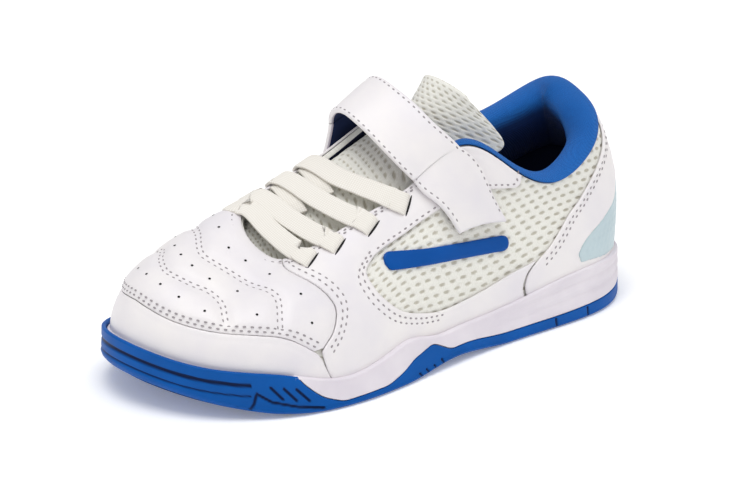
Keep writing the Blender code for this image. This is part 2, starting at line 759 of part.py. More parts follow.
verts, faces = band(SLOTS[1], SLOTS[0], SLOT_Q, 3.0 - SLOT_Q, [ABOVE, ABOVE], 10)
make("lace_bar", verts, faces, WHITE, 0.7)
for k in (1, 2, 3):
    front, back = SLOTS[k], SLOTS[k + 1]
    heights = [ABOVE, ABOVE, 1.5 * DIP, DIP, DIP, 1.5 * DIP, 1.2 * ABOVE, 1.2 * ABOVE, 1.2 * ABOVE]
    verts, faces = band(back, front, SLOT_Q, 3.0 - SLOT_Q, heights, 13)
    cross = make("lace_cross_%d" % k, verts, faces, WHITE, 0.7)
    # the band below comes out from under the eyestay halfway between two slots
    half = (0.5 * (front[0] + back[0]), 0.47 * front[1] + 0.53 * back[1])
    verts, faces = band(half, back, 1.10, 1.55, [-0.2 * DIP, 0.0, 0.0, -0.2 * DIP], 5)
    under = make("under_%d" % k, verts, faces, WHITE, 0.7)
    under.hide_render = True
    under.display_type = 'WIRE'
    join = cross.modifiers.new("join", 'BOOLEAN')
    join.operation = 'UNION'
    join.solver = 'EXACT'
    join.object = under

# Strap: from the inner side over the tongue to its free end on the outer side
STRAP = [
    # q, rear station, front station, lift in tenths of a millimetre
    (0.27, 0.216, 0.251, 0),
    (0.50, 0.228, 0.265, 0),
    (0.75, 0.239, 0.277, 1),
    (1.00, 0.255, 0.286, 6),
    (1.20, 0.264, 0.294, 26),
    (1.40, 0.268, 0.303, 48),
    (1.60, 0.271, 0.309, 68),
    (1.80, 0.270, 0.309, 74),
    (2.00, 0.266, 0.306, 50),
    (2.25, 0.262, 0.302, 20),
    (2.50, 0.258, 0.297, 3),
    (2.75, 0.254, 0.292, 0),
]
rows = []
fine = np.linspace(0.0, len(STRAP) - 1.0, 15)
cols = np.array(STRAP, float)
for s in fine:
    q, back, fore, raised = [np.interp(s, np.arange(len(STRAP)), cols[:, c]) for c in range(4)]
    us = np.linspace(back, fore, 3)
    height = HIGH + 1.2 * GAP + STRAP_THICKNESS + raised * 1e-4
    slant = STRAP_SLANT * max(0.0, 1.0 - q) * np.array([1.0, 0.0, -1.0])
    rows.append(over(us, q + slant, height, STRAP_CROWN))
sheet("strap", rows, STRAP_THICKNESS, WHITE, 0.45)

# Tread: cross grooves and a turning circle, cut into the flat underside
work = bmesh.new()
BARS = [45, 110, 190, 255, 575, 622, 812, 865]
for share in BARS:
    x = share * MIL * SOLE_LENGTH
    made = bmesh.ops.create_cube(work, size=1.0)["verts"]
    for vert in made:
        vert.co.x = x + vert.co.x * GROOVE_WIDTH
        vert.co.y = vert.co.y * 1.4 * BALL_WIDTH
        vert.co.z = ground(x) - 0.004 + (vert.co.z + 0.5) * (0.004 + GROOVE_DEPTH)
sides = 28
centre = (0.715 * SOLE_LENGTH, 0.02 * BALL_WIDTH)
rings = []
for radius, z in [(0.17, -0.002), (0.17, GROOVE_DEPTH), (0.145, GROOVE_DEPTH), (0.145, -0.002)]:
    loop = []
    for k in range(sides):
        a = 2 * math.pi * k / sides
        loop.append(work.verts.new((centre[0] + radius * BALL_WIDTH * math.cos(a),
                                    centre[1] + radius * BALL_WIDTH * math.sin(a), z)))
    rings.append(loop)
for r in range(4):
    for k in range(sides):
        j = (k + 1) % sides
        a, b = rings[r], rings[(r + 1) % 4]
        work.faces.new((a[k], a[j], b[j], b[k]))


def strip(sections):
    # closed cutter through sections of four points
    rows = [[work.verts.new(q) for q in section] for section in sections]
    for a, b in zip(rows[:-1], rows[1:]):
        for k in range(4):
            j = (k + 1) % 4
            work.faces.new((a[k], a[j], b[j], b[k]))
    work.faces.new(rows[0])
    work.faces.new(rows[-1])


def side_point(station, z, depth):
    # a point in the outsole's own side wall
    flat = ring(wall_in(z) + depth, z)
    return [np.interp(station, U, flat[:, k], period=1.0) for k in range(3)]


def side_cut(foot, foot_z, top, top_z):
    return [side_point(foot, foot_z, -2 * WRAP), side_point(foot, foot_z, SIDE_DEPTH),
            side_point(top, top_z, SIDE_DEPTH), side_point(top, top_z, -2 * WRAP)]


# Slots in the side, the same on both sides, heights per thousand of RIM_HEIGHT
SIDE_SLOTS = [
    # station at the foot, its height, station at the top, its height
    (0.1770, -40, 0.1775, 190),
    (0.1470, -40, 0.1480, 290),
    (0.2644, 20, 0.2646, 200),
    (0.2700, 25, 0.2710, 150),
    (0.2755, 20, 0.2770, 140),
    (0.2810, 20, 0.2825, 115),
    (0.3640, 250, 0.3720, 480),
    (0.3725, 290, 0.3805, 520),
    (0.3815, 340, 0.3895, 570),
]
SIDE_DEPTH = 0.00055
HALF_SLOT = 0.0009
for foot, foot_z, top, top_z in SIDE_SLOTS:
    z = (foot_z * MIL * RIM_HEIGHT, top_z * MIL * RIM_HEIGHT)
    for sign in (1, -1):
        strip([side_cut(sign * (foot + w), z[0], sign * (top + w), z[1])
               for w in (-HALF_SLOT, HALF_SLOT)])

# Long groove round the toe, a fixed share below the rim
GROOVE_ENDS = (0.404, 0.596)
GROOVE_DROP = 0.20 * RIM_HEIGHT
path = [GROOVE_ENDS[0]] + [u for u in U if GROOVE_ENDS[0] + 0.01 < u < GROOVE_ENDS[1] - 0.01]
path.append(GROOVE_ENDS[1])
sections = []
for u in path:
    z = float(rim_at(np.array([u]))[0, 0]) - GROOVE_DROP
    sections.append(side_cut(u, z - 0.00045, u, z + 0.00045))
strip(sections)
bmesh.ops.recalc_face_normals(work, faces=work.faces)
cut_mesh = bpy.data.meshes.new("tread_cut")
work.to_mesh(cut_mesh)
work.free()
cutter = bpy.data.objects.new("tread_cut", cut_mesh)
bpy.context.collection.objects.link(cutter)
cutter.hide_render = True
cutter.display_type = 'WIRE'
cut = outsole.modifiers.new("tread", 'BOOLEAN')
cut.operation = 'DIFFERENCE'
cut.solver = 'EXACT'
cut.object = cutter

# Put the middle of the shoe's box over the origin
solids = [o for o in bpy.data.objects if o.type == 'MESH' and not o.hide_render]
spots = np.array([v.co[:] for o in solids for v in o.data.vertices])
shift = Vector(((spots[:, 0].min() + spots[:, 0].max()) / 2,
                (spots[:, 1].min() + spots[:, 1].max()) / 2, 0.0))
for obj in bpy.data.objects:
    if obj.type == 'MESH':
        for vert in obj.data.vertices:
            vert.co -= shift
        obj.data.update()
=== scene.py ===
"""Looks of a child's indoor court shoe for the left foot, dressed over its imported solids.

The shoe is charted by two shares: the station around it (0 at the back of the heel, along the
outer side to the toe at a half, and back along the inner side) and the level up the upper (0 at
its foot in the sole, 1 at the opening). Lengths are in metres.
"""
import math

import bmesh
import bpy
import numpy as np
from bpy.props import FloatProperty
from bpy.props import FloatVectorProperty
from bpy.props import PointerProperty
from mathutils import Matrix
from mathutils import Vector
from mathutils.kdtree import KDTree


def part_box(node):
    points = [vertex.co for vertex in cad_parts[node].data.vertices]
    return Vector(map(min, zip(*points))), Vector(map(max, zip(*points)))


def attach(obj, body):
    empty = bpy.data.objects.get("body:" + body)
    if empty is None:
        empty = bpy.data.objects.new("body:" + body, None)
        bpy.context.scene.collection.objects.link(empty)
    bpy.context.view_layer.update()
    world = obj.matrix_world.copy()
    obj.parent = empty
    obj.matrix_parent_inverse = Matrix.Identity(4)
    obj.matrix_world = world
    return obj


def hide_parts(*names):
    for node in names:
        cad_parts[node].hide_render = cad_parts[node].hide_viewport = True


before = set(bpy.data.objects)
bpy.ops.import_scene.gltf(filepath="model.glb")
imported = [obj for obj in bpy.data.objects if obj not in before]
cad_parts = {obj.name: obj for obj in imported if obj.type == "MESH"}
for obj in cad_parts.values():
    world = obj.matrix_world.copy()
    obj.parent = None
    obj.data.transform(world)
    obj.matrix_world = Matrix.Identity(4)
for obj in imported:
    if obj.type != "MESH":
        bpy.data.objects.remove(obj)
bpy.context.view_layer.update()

bl_info = {
    "name": "Indoor Court Shoe",
    "version": (1, 0, 0),
    "blender": (4, 5, 0),
    "location": "3D View > Sidebar > Court Shoe",
    "description": "Dresses the packed solids of a child's indoor court shoe",
    "category": "Add Mesh",
}

MM = 0.001
MIL = 0.001

# Sizes of the last and the sole, as in the solids
SOLE_LENGTH = 0.2145
BALL_WIDTH = 0.092
HEEL_HEIGHT = 0.075
INSTEP_HEIGHT = 0.078
RIM_HEIGHT = 0.020
TOE_SPRING = 0.0095
ARCH_RISE = 0.0022
UPPER_WALL = 0.0022
OVERLAY = 0.0010
GAP = 0.00035
CUP_DEPTH = 0.004
WRAP = 0.0016
PLATE = 0.0026
COLLAR_PAD = 0.0098
COLLAR_ROLL = 0.36
TONGUE = 0.0032
STRAP_THICKNESS = 0.0022
BASE_IN = 0.0022
BASE_IN_TOE = 0.0044
SIDE_UP = 0.0017
SIDE_UP_TOE = 0.0032
STRAP_CROWN = 0.36
STRAP_SLANT = 0.09
TONGUE_CROWN = 0.26
LOW = GAP
HIGH = GAP + OVERLAY

# Sizes of the finish
LACE_WIDTH = 0.0082
LACE_THICKNESS = 0.0014
MESH_DIP = 0.45 * MM
TONGUE_DIP = 0.5 * MM

SOLE = [
    # along, outer, inner: thousandths of the length and of the ball width
    (0, 0, 0),
    (12, 152, -147),
    (42, 261, -250),
    (102, 348, -326),
    (195, 386, -353),
    (316, 402, -348),
    (447, 440, -353),
    (578, 505, -402),
    (699, 538, -462),
    (811, 495, -457),
    (900, 380, -397),
    (965, 207, -283),
    (1000, -54, -54),
]
RIM = [
    # rim outer, rim inner, rim in outer, rim in inner, foot in beyond the rim
    (950, 950, 5, 5, 30),
    (950, 950, 5, 5, 30),
    (950, 950, 5, 5, 30),
    (940, 940, 15, 10, 30),
    (900, 900, 20, 12, 30),
    (690, 690, 25, 15, 32),
    (600, 600, 35, 18, 35),
    (620, 620, 40, 20, 35),
    (470, 470, 35, 20, 33),
    (710, 710, 28, 18, 34),
    (880, 880, 12, 10, 38),
    (1020, 1020, 6, 6, 40),
    (1160, 1160, 4, 4, 40),
]
COLLAR_EDGE = [
    # along, outer, inner, height outer, height inner
    (44, 0, 0, 985, 985),
    (49, 98, -92, 935, 1015),
    (70, 182, -172, 855, 1000),
    (116, 236, -225, 760, 930),
    (195, 266, -255, 698, 852),
    (279, 248, -241, 813, 907),
]
THROAT_EDGE = [
    # along, outer, inner, height outer, height inner
    (372, 207, -207, 936, 1000),
    (465, 168, -185, 795, 949),
    (549, 158, -179, 705, 846),
    (623, 147, -174, 628, 782),
    (679, 130, -163, 571, 737),
    (721, 87, -125, 551, 699),
    (742, -22, -22, 628, 628),
]
RIB = [
    # lean at the foot, foot handle, top handle, slope at the opening
    (6, 400, 293, 66),
    (5, 400, 293, 68),
    (4, 373, 267, 74),
    (3, 293, 227, 84),
    (6, 227, 187, 86),
    (5, 227, 187, 80),
    (4, 253, 200, 70),
    (4, 253, 213, 55),
    (4, 267, 240, 42),
    (3, 280, 293, 32),
    (1, 307, 347, 24),
    (-1, 333, 373, 18),
    (-2, 347, 373, 12),
]
TRIM = [
    # station and height of the blue rubber's top edge, thousandths of RIM_HEIGHT
    (0.000, 375),
    (0.060, 325),
    (0.120, 265),
    (0.180, 225),
    (0.236, 210),
    (0.256, 180),
    (0.268, 430),
    (0.284, 370),
    (0.295, 230),
    (0.307, 130),
    (0.341, 110),
    (0.354, 250),
    (0.358, 330),
    (0.364, 460),
    (0.369, 590),
    (0.373, 760),
    (0.378, 2000),
    (0.500, 2000),
]


def linear(code):
    """Linear red, green and blue of an sRGB hex colour."""
    parts = [int(code[k:k + 2], 16) / 255 for k in (1, 3, 5)]
    return tuple(c / 12.92 if c <= 0.04045 else ((c + 0.055) / 1.055) ** 2.4 for c in parts)


# The shoe's own shape

def periodic(rows):
    """Closed smooth curve through evenly spaced stations."""
    pts = np.array(rows, float)
    n = len(pts)
    mat = 4.0 * np.eye(n) + np.roll(np.eye(n), 1, 0) + np.roll(np.eye(n), -1, 0)
    bend = np.linalg.solve(mat, 6.0 * (np.roll(pts, -1, 0) - 2.0 * pts + np.roll(pts, 1, 0)))

    def at(u):
        s = np.mod(np.asarray(u, float), 1.0) * n
        i = np.minimum(np.floor(s).astype(int), n - 1)
        j = (i + 1) % n
        b = (s - i)[..., None]
        a = 1.0 - b
        lin = pts[i] * a + pts[j] * b
        return lin + (bend[i] * (a ** 3 - a) + bend[j] * (b ** 3 - b)) / 6.0
    return at


def around(table, pairs, scale):
    """Outer columns from heel to toe, then inner columns from toe to heel."""
    rows = [[row[p[0]] * s for p, s in zip(pairs, scale)] for row in table]
    rows += [[row[p[1]] * s for p, s in zip(pairs, scale)] for row in table[-2:0:-1]]
    return rows


def opening_rows():
    rows = [[*row[:3], row[3] * HEEL_HEIGHT, row[4] * HEEL_HEIGHT] for row in COLLAR_EDGE]
    rows += [[*row[:3], row[3] * INSTEP_HEIGHT, row[4] * INSTEP_HEIGHT] for row in THROAT_EDGE]
    return rows


outline_at = periodic(around(SOLE, [(0, 0), (1, 2)], [MIL * SOLE_LENGTH, MIL * BALL_WIDTH]))
rim_at = periodic(around(RIM, [(0, 1), (2, 3), (4, 4)], [MIL * RIM_HEIGHT, 1e-4, 1e-4]))
opening_at = periodic(around(opening_rows(), [(0, 0), (1, 2), (3, 4)],
                             [MIL * SOLE_LENGTH, MIL * BALL_WIDTH, MIL]))
rib_at = periodic(around(RIB, [(0, 0), (1, 1), (2, 2), (3, 3)],
                         [math.radians(1), MIL * HEEL_HEIGHT, MIL * HEEL_HEIGHT, math.radians(1)]))


def unit(a):
    return a / np.maximum(np.linalg.norm(a, axis=-1, keepdims=True), 1e-12)


def outline(u):
    """Point on the sole's outline and its outward direction."""
    p = outline_at(u)
    t = unit(outline_at(u + 1e-4) - outline_at(u - 1e-4))
    return p, np.stack([-t[..., 1], t[..., 0]], -1)


def ground(x):
    """Height of the underside: toe spring, a small arch and a bevelled heel."""
    s = x / SOLE_LENGTH
    toe = TOE_SPRING * np.clip((s - 0.745) / 0.255, 0.0, 1.0) ** 1.8
    heel = 0.3 * TOE_SPRING * np.clip((0.065 - s) / 0.065, 0.0, 1.0) ** 1.6
    arch = ARCH_RISE * np.cos(np.clip((s - 0.455) / 0.13, -1.0, 1.0) * math.pi / 2) ** 2
    return toe + heel + arch


def surface(u, v):
    """Outer face of the upper."""
    u, v = np.broadcast_arrays(np.asarray(u, float), np.asarray(v, float))
    p, n = outline(u)
    rim = rim_at(u)
    rib = rib_at(u)
    foot = np.concatenate([p - n * (rim[..., 1:2] + rim[..., 2:3]), rim[..., 0:1] - CUP_DEPTH], -1)
    top = opening_at(u)
    d = unit((foot - top)[..., :2])
    a = foot + rib[..., 1:2] * np.concatenate([n * np.sin(rib[..., 0:1]), np.cos(rib[..., 0:1])], -1)
    b = top + rib[..., 2:3] * np.concatenate([d * np.cos(rib[..., 3:4]), -np.sin(rib[..., 3:4])], -1)
    w = v[..., None]
    z = 1.0 - w
    return z ** 3 * foot + 3 * z * z * w * a + 3 * z * w * w * b + w ** 3 * top


def facing(u, v):
    """Outward direction of the upper's face."""
    e = 1e-4
    du = surface(u + e, v) - surface(u - e, v)
    dv = surface(u, v + e) - surface(u, v - e)
    return unit(np.cross(dv, du))


def shell(u, v, h):
    u, v, h = np.broadcast_arrays(np.asarray(u, float), np.asarray(v, float), np.asarray(h, float))
    return surface(u, v) + facing(u, v) * h[..., None]


def crown_at(u):
    """How much the instep is arched above a straight line across the throat."""
    return np.interp(u, [0.25, 0.29, 0.33, 0.42], [0.36, 0.28, 0.16, 0.10])[..., None]


def hoop(u, q, crown=None):
    """Over the instep: q 0 to 1 up the outer side, to 2 across the throat, to 3 down the inner."""
    u, q = np.broadcast_arrays(np.asarray(u, float), np.asarray(q, float))
    crown = crown_at(u) if crown is None else crown
    side = surface(u, np.clip(0.4 + 0.6 * q, 0.0, 1.0))
    far = surface(1.0 - u, np.clip(1.0 - 0.6 * (q - 2.0), 0.0, 1.0))
    one = np.ones_like(u)
    a = surface(u, one)
    d = surface(1.0 - u, one)
    width = np.linalg.norm(d - a, axis=-1, keepdims=True)
    across = np.array([0.2, 1.0, 1.0])
    b = a + unit((a - surface(u, one * 0.96)) * across) * width * crown
    c = d + unit((d - surface(1.0 - u, one * 0.96)) * across) * width * crown
    t = np.clip(q - 1.0, 0.0, 1.0)[..., None]
    s = 1.0 - t
    mid = s ** 3 * a + 3 * s * s * t * b + 3 * s * t * t * c + t ** 3 * d
    return np.where((q < 1.0)[..., None], side, np.where((q > 2.0)[..., None], far, mid))


def over(u, q, h, crown=None):
    """A point at height h above the hoop."""
    u, q, h = np.broadcast_arrays(np.asarray(u, float), np.asarray(q, float), np.asarray(h, float))
    e = 2e-3
    dq = hoop(u, q + e, crown) - hoop(u, q - e, crown)
    du = hoop(u + e, q, crown) - hoop(u - e, q, crown)
    return hoop(u, q, crown) + unit(np.cross(dq, du)) * h[..., None]


# Where the charted shoe lies in the row's frame
_low, _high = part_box("outsole")
_dense = outline_at(np.linspace(0.0, 1.0, 721))
SHIFT = np.array([(_low.x + _high.x - _dense[:, 0].min() - _dense[:, 0].max()) / 2,
                  (_low.y + _high.y - _dense[:, 1].min() - _dense[:, 1].max()) / 2, 0.0])

# Real distance around the upper by station, and up it by level
_stations = np.linspace(0.0, 1.0, 721)
_path = surface(_stations, 0.45)
ROUND = np.concatenate([[0.0], np.cumsum(np.linalg.norm(np.diff(_path, axis=0), axis=1))])
_ribs = surface(_stations[:, None], np.linspace(0.0, 1.0, 25)[None, :])
RISE = np.linalg.norm(np.diff(_ribs, axis=1), axis=2).sum(1)


def cloth_xy(u, v):
    """Distance around and up the upper in millimetres, for woven patterns."""
    x = np.interp(np.mod(u, 1.0), _stations, ROUND) + np.floor(u) * ROUND[-1]
    return np.stack([x, v * np.interp(np.mod(u, 1.0), _stations, RISE)], -1) / MM


def curve_weights(t, n, closed=False):
    """Weights that take n evenly spaced points to the shares t of a smooth curve through them."""
    t = np.asarray(t, float)
    s = t * n if closed else np.clip(t, 0.0, 1.0) * (n - 1)
    i = np.floor(s).astype(int)
    if not closed:
        i = np.clip(i, 0, n - 2)
    f = s - i
    parts = [(-f + 2 * f ** 2 - f ** 3) / 2, (2 - 5 * f ** 2 + 3 * f ** 3) / 2,
             (f + 4 * f ** 2 - 3 * f ** 3) / 2, (-f ** 2 + f ** 3) / 2]
    out = np.zeros((len(t), n))
    rows = np.arange(len(t))
    for k, part in enumerate(parts):
        j = i + k - 1
        if closed:
            np.add.at(out, (rows, j % n), part)
            continue
        below = j < 0
        above = j > n - 1
        inside = ~below & ~above
        np.add.at(out, (rows[inside], j[inside]), part[inside])
        for mask, near, far in ((below, 0, 1), (above, n - 1, n - 2)):
            np.add.at(out, (rows[mask], np.full(mask.sum(), near)), 2 * part[mask])
            np.add.at(out, (rows[mask], np.full(mask.sum(), far)), -part[mask])
    return out


def through(points, count, closed=False):
    """Evenly shared points on a smooth curve through a few."""
    pts = np.array(points, float)
    t = np.linspace(0.0, 1.0, count, endpoint=not closed)
    return curve_weights(t, len(pts), closed) @ pts


def from_heel(u):
    """Station counted from the heel on whichever side it lies, 0 to a half."""
    return np.minimum(np.mod(u, 1.0), 1.0 - np.mod(u, 1.0))


def spread_over(s, stations):
    """Even shares taken to uneven stations."""
    return np.interp(s, np.linspace(0.0, 1.0, len(stations)), stations)


def point_tree(spots):
    tree = KDTree(len(spots))
    for k, spot in enumerate(spots):
        tree.insert(spot, k)
    tree.balance()
    return tree


def soft_step(x, low, high):
    t = np.clip((x - low) / (high - low), 0.0, 1.0)
    return t * t * (3.0 - 2.0 * t)


# Materials

def add(tree, kind, inputs=None, stops=(), **settings):
    """Adds a node with its settings and its colour stops, and sets or links its inputs."""
    made = tree.nodes.new(kind)
    for name, value in settings.items():
        setattr(made, name, value)
    for name, value in (inputs or {}).items():
        if isinstance(value, bpy.types.NodeSocket):
            tree.links.new(value, made.inputs[name])
        else:
            made.inputs[name].default_value = value
    for element, (place, colour) in zip(made.color_ramp.elements if stops else (), stops):
        element.position = place
        element.color = (*colour, 1.0)
    return made


def begin(name):
    mat = bpy.data.materials.new(name)
    mat.use_nodes = True
    mat.node_tree.nodes.clear()
    return mat, mat.node_tree


def close(tree, inputs):
    """Shader and output of a material."""
    shader = add(tree, "ShaderNodeBsdfPrincipled", inputs)
    add(tree, "ShaderNodeOutputMaterial", {"Surface": shader.outputs["BSDF"]})


def grained_synthetic(name, colour, shade, grain=0.55, rough=0.42, gleam=0.4, coat=0.10):
    """Polyurethane-coated microfibre, embossed with a fine grain: satin, with soft highlights."""
    mat, tree = begin(name)
    where = add(tree, "ShaderNodeTexCoord").outputs["Object"]
    cells = add(tree, "ShaderNodeTexVoronoi", {"Vector": where, "Scale": 1 / (grain * MM)},
                feature="SMOOTH_F1")
    cloud = add(tree, "ShaderNodeTexNoise", {"Vector": where, "Scale": 45.0, "Detail": 4.0})
    fine = add(tree, "ShaderNodeTexNoise", {"Vector": where, "Scale": 1 / (0.25 * MM), "Detail": 2.0})
    height = add(tree, "ShaderNodeMath", {0: cells.outputs["Distance"], 1: fine.outputs["Fac"]},
                 operation="ADD")
    bump = add(tree, "ShaderNodeBump", {"Height": height.outputs[0], "Strength": 0.16,
                                        "Distance": 0.08 * MM})
    colours = add(tree, "ShaderNodeValToRGB", {"Fac": cloud.outputs["Fac"]},
                  stops=((0.3, shade), (0.7, colour))).outputs["Color"]
    gloss = add(tree, "ShaderNodeMapRange", {"Value": cloud.outputs["Fac"], "To Min": rough - 0.05,
                                             "To Max": rough + 0.07})
    close(tree, {"Base Color": colours, "Roughness": gloss.outputs["Result"], "IOR": 1.5,
                 "Specular IOR Level": gleam, "Coat Weight": coat, "Coat Roughness": 0.3,
                 "Normal": bump.outputs["Normal"]})
    return mat


# Painted shade between the yarn's loops: how much darker the yarn is made there
PAINTED_LOOP_SHADE = (0.86, 0.85, 0.82)


def knit_mesh(name, colour, hollow_shade):
    """Polyester spacer mesh: matt yarn, with painted shade darkening it between its loops and, warmer, in
    the bottom of each opening.
    """
    mat, tree = begin(name)
    cloth = add(tree, "ShaderNodeUVMap", uv_map="cloth").outputs["UV"]
    yarn = add(tree, "ShaderNodeMapping", {"Vector": cloth, "Scale": (1.9, 1.3, 1.0)})
    loops = add(tree, "ShaderNodeTexVoronoi", {"Vector": yarn.outputs["Vector"], "Scale": 1.0},
                feature="F1", voronoi_dimensions="2D")
    ribs = add(tree, "ShaderNodeTexWave", {"Vector": cloth, "Scale": 0.55, "Distortion": 1.2,
                                           "Detail": 2.0}, bands_direction="Y")
    height = add(tree, "ShaderNodeMath", {0: loops.outputs["Distance"], 1: 0.6, 2: ribs.outputs["Fac"]},
                 operation="MULTIPLY_ADD")
    bump = add(tree, "ShaderNodeBump", {"Height": height.outputs[0], "Strength": 0.35,
                                        "Distance": 0.18 * MM}, invert=True)
    dip = add(tree, "ShaderNodeAttribute", attribute_name="dip").outputs["Fac"]
    # Painted shade: each opening is darkened towards its bottom
    tone = add(tree, "ShaderNodeValToRGB", {"Fac": dip},
               stops=((0.25, colour), (0.9, hollow_shade))).outputs["Color"]
    # Painted shade: the yarn is darkened towards the edges of its loops
    loop_shade = add(tree, "ShaderNodeValToRGB", {"Fac": loops.outputs["Distance"]},
               stops=((0.2, (1.0, 1.0, 1.0)), (0.9, PAINTED_LOOP_SHADE))).outputs["Color"]
    mixed = add(tree, "ShaderNodeMix", {0: 0.55, 6: tone, 7: loop_shade}, data_type="RGBA",
                blend_type="MULTIPLY")
    close(tree, {"Base Color": mixed.outputs[2], "Roughness": 0.85, "IOR": 1.45,
                 "Sheen Weight": 0.25, "Sheen Roughness": 0.5, "Normal": bump.outputs["Normal"]})
    return mat


def woven_lining(name, light, dark):
    """Air-mesh lining woven in small lozenges: bright threads, with the gaps between them darkened as
    painted shade.
    """
    mat, tree = begin(name)
    cloth = add(tree, "ShaderNodeUVMap", uv_map="cloth").outputs["UV"]
    # lozenges of 1.3 by 1.1 mm, drawn at their real size
    turned = add(tree, "ShaderNodeMapping", {"Vector": cloth, "Scale": (0.77, 0.91, 1.0)})
    parts = add(tree, "ShaderNodeSeparateXYZ", {"Vector": turned.outputs["Vector"]})
    waves = []
    for sign in (1.0, -1.0):
        slope = add(tree, "ShaderNodeMath", {0: parts.outputs["X"], 1: sign, 2: parts.outputs["Y"]},
                    operation="MULTIPLY_ADD")
        wave = add(tree, "ShaderNodeMath", {0: slope.outputs[0], 1: math.pi}, operation="MULTIPLY")
        sine = add(tree, "ShaderNodeMath", {0: wave.outputs[0]}, operation="SINE")
        waves.append(add(tree, "ShaderNodeMath", {0: sine.outputs[0]}, operation="ABSOLUTE").outputs[0])
    thread = add(tree, "ShaderNodeMath", {0: waves[0], 1: waves[1]}, operation="MULTIPLY")
    bump = add(tree, "ShaderNodeBump", {"Height": thread.outputs[0], "Strength": 0.7,
                                        "Distance": 0.35 * MM})
    deep = add(tree, "ShaderNodeAttribute", attribute_name="deep").outputs["Fac"]
    # Painted shade: the gaps between the threads are darkened
    tone = add(tree, "ShaderNodeValToRGB", {"Fac": thread.outputs[0]},
               stops=((0.10, dark), (0.70, light))).outputs["Color"]
    # Down inside: the navy lining, darkened partly as painted shade inside the shoe
    inner = add(tree, "ShaderNodeValToRGB", {"Fac": thread.outputs[0]},
                stops=((0.12, linear("#04204F")), (0.8, linear("#0A3476")))).outputs["Color"]
    mixed = add(tree, "ShaderNodeMix", {0: deep, 6: tone, 7: inner}, data_type="RGBA")
    close(tree, {"Base Color": mixed.outputs[2], "Roughness": 0.7, "IOR": 1.45,
                 "Specular IOR Level": 0.2, "Sheen Weight": 0.08, "Sheen Roughness": 0.4,
                 "Normal": bump.outputs["Normal"]})
    return mat


def moulded(name, colour, shade, rough, pebble, strength, gleam, slot_painted_shade=None):
    """Rubber or foam from a steel mould: even colour, finely pebbled, its grooves painted darker as painted
    shade.
    """
    mat, tree = begin(name)
    where = add(tree, "ShaderNodeTexCoord").outputs["Object"]
    grit = add(tree, "ShaderNodeTexNoise", {"Vector": where, "Scale": 1 / (pebble * MM),
                                            "Detail": 3.0})
    cloud = add(tree, "ShaderNodeTexNoise", {"Vector": where, "Scale": 60.0, "Detail": 3.0})
    bump = add(tree, "ShaderNodeBump", {"Height": grit.outputs["Fac"], "Strength": strength,
                                        "Distance": 0.12 * MM})
    tone = add(tree, "ShaderNodeValToRGB", {"Fac": cloud.outputs["Fac"]},
               stops=((0.3, shade), (0.7, colour))).outputs["Color"]
    # Painted shade in the slots and grooves
    if slot_painted_shade:
        dip = add(tree, "ShaderNodeAttribute", attribute_name="dip").outputs["Fac"]
        tone = add(tree, "ShaderNodeMix", {0: dip, 6: tone, 7: (*slot_painted_shade, 1.0)},
                   data_type="RGBA").outputs[2]
    gloss = add(tree, "ShaderNodeMapRange", {"Value": grit.outputs["Fac"], "To Min": rough - 0.06,
                                             "To Max": rough + 0.08})
    close(tree, {"Base Color": tone, "Roughness": gloss.outputs["Result"], "IOR": 1.5,
                 "Specular IOR Level": gleam, "Normal": bump.outputs["Normal"]})
    return mat


def elastic_knit(name, colour, shade):
    """Flat knitted elastic: fine ribs along its length, soft and matt."""
    mat, tree = begin(name)
    cloth = add(tree, "ShaderNodeUVMap", uv_map="cloth").outputs["UV"]
    ribs = add(tree, "ShaderNodeTexWave", {"Vector": cloth, "Scale": 0.38, "Distortion": 0.5},
               bands_direction="X")
    stitch = add(tree, "ShaderNodeTexWave", {"Vector": cloth, "Scale": 0.45, "Distortion": 0.6},
                 bands_direction="Y")
    height = add(tree, "ShaderNodeMath", {0: ribs.outputs["Fac"], 1: stitch.outputs["Fac"]},
                 operation="MULTIPLY")
    bump = add(tree, "ShaderNodeBump", {"Height": height.outputs[0], "Strength": 0.18,
                                        "Distance": 0.10 * MM})
    # Painted shade: the low parts of the ribs are darkened
    tone = add(tree, "ShaderNodeValToRGB", {"Fac": height.outputs[0]},
               stops=((0.0, shade), (0.5, colour))).outputs["Color"]
    close(tree, {"Base Color": tone, "Roughness": 0.8, "IOR": 1.45, "Sheen Weight": 0.3,
                 "Sheen Roughness": 0.4, "Normal": bump.outputs["Normal"]})
    return mat


def plain(name, colour, rough):
    """A small thing of one colour, such as thread or the painted shadow in a slot."""
    mat, tree = begin(name)
    where = add(tree, "ShaderNodeTexCoord").outputs["Object"]
    noise = add(tree, "ShaderNodeTexNoise", {"Vector": where, "Scale": 900.0})
    tone = add(tree, "ShaderNodeValToRGB", {"Fac": noise.outputs["Fac"]},
               stops=((0.3, tuple(0.85 * c for c in colour)), (0.7, colour))).outputs["Color"]
    close(tree, {"Base Color": tone, "Roughness": rough})
    return mat


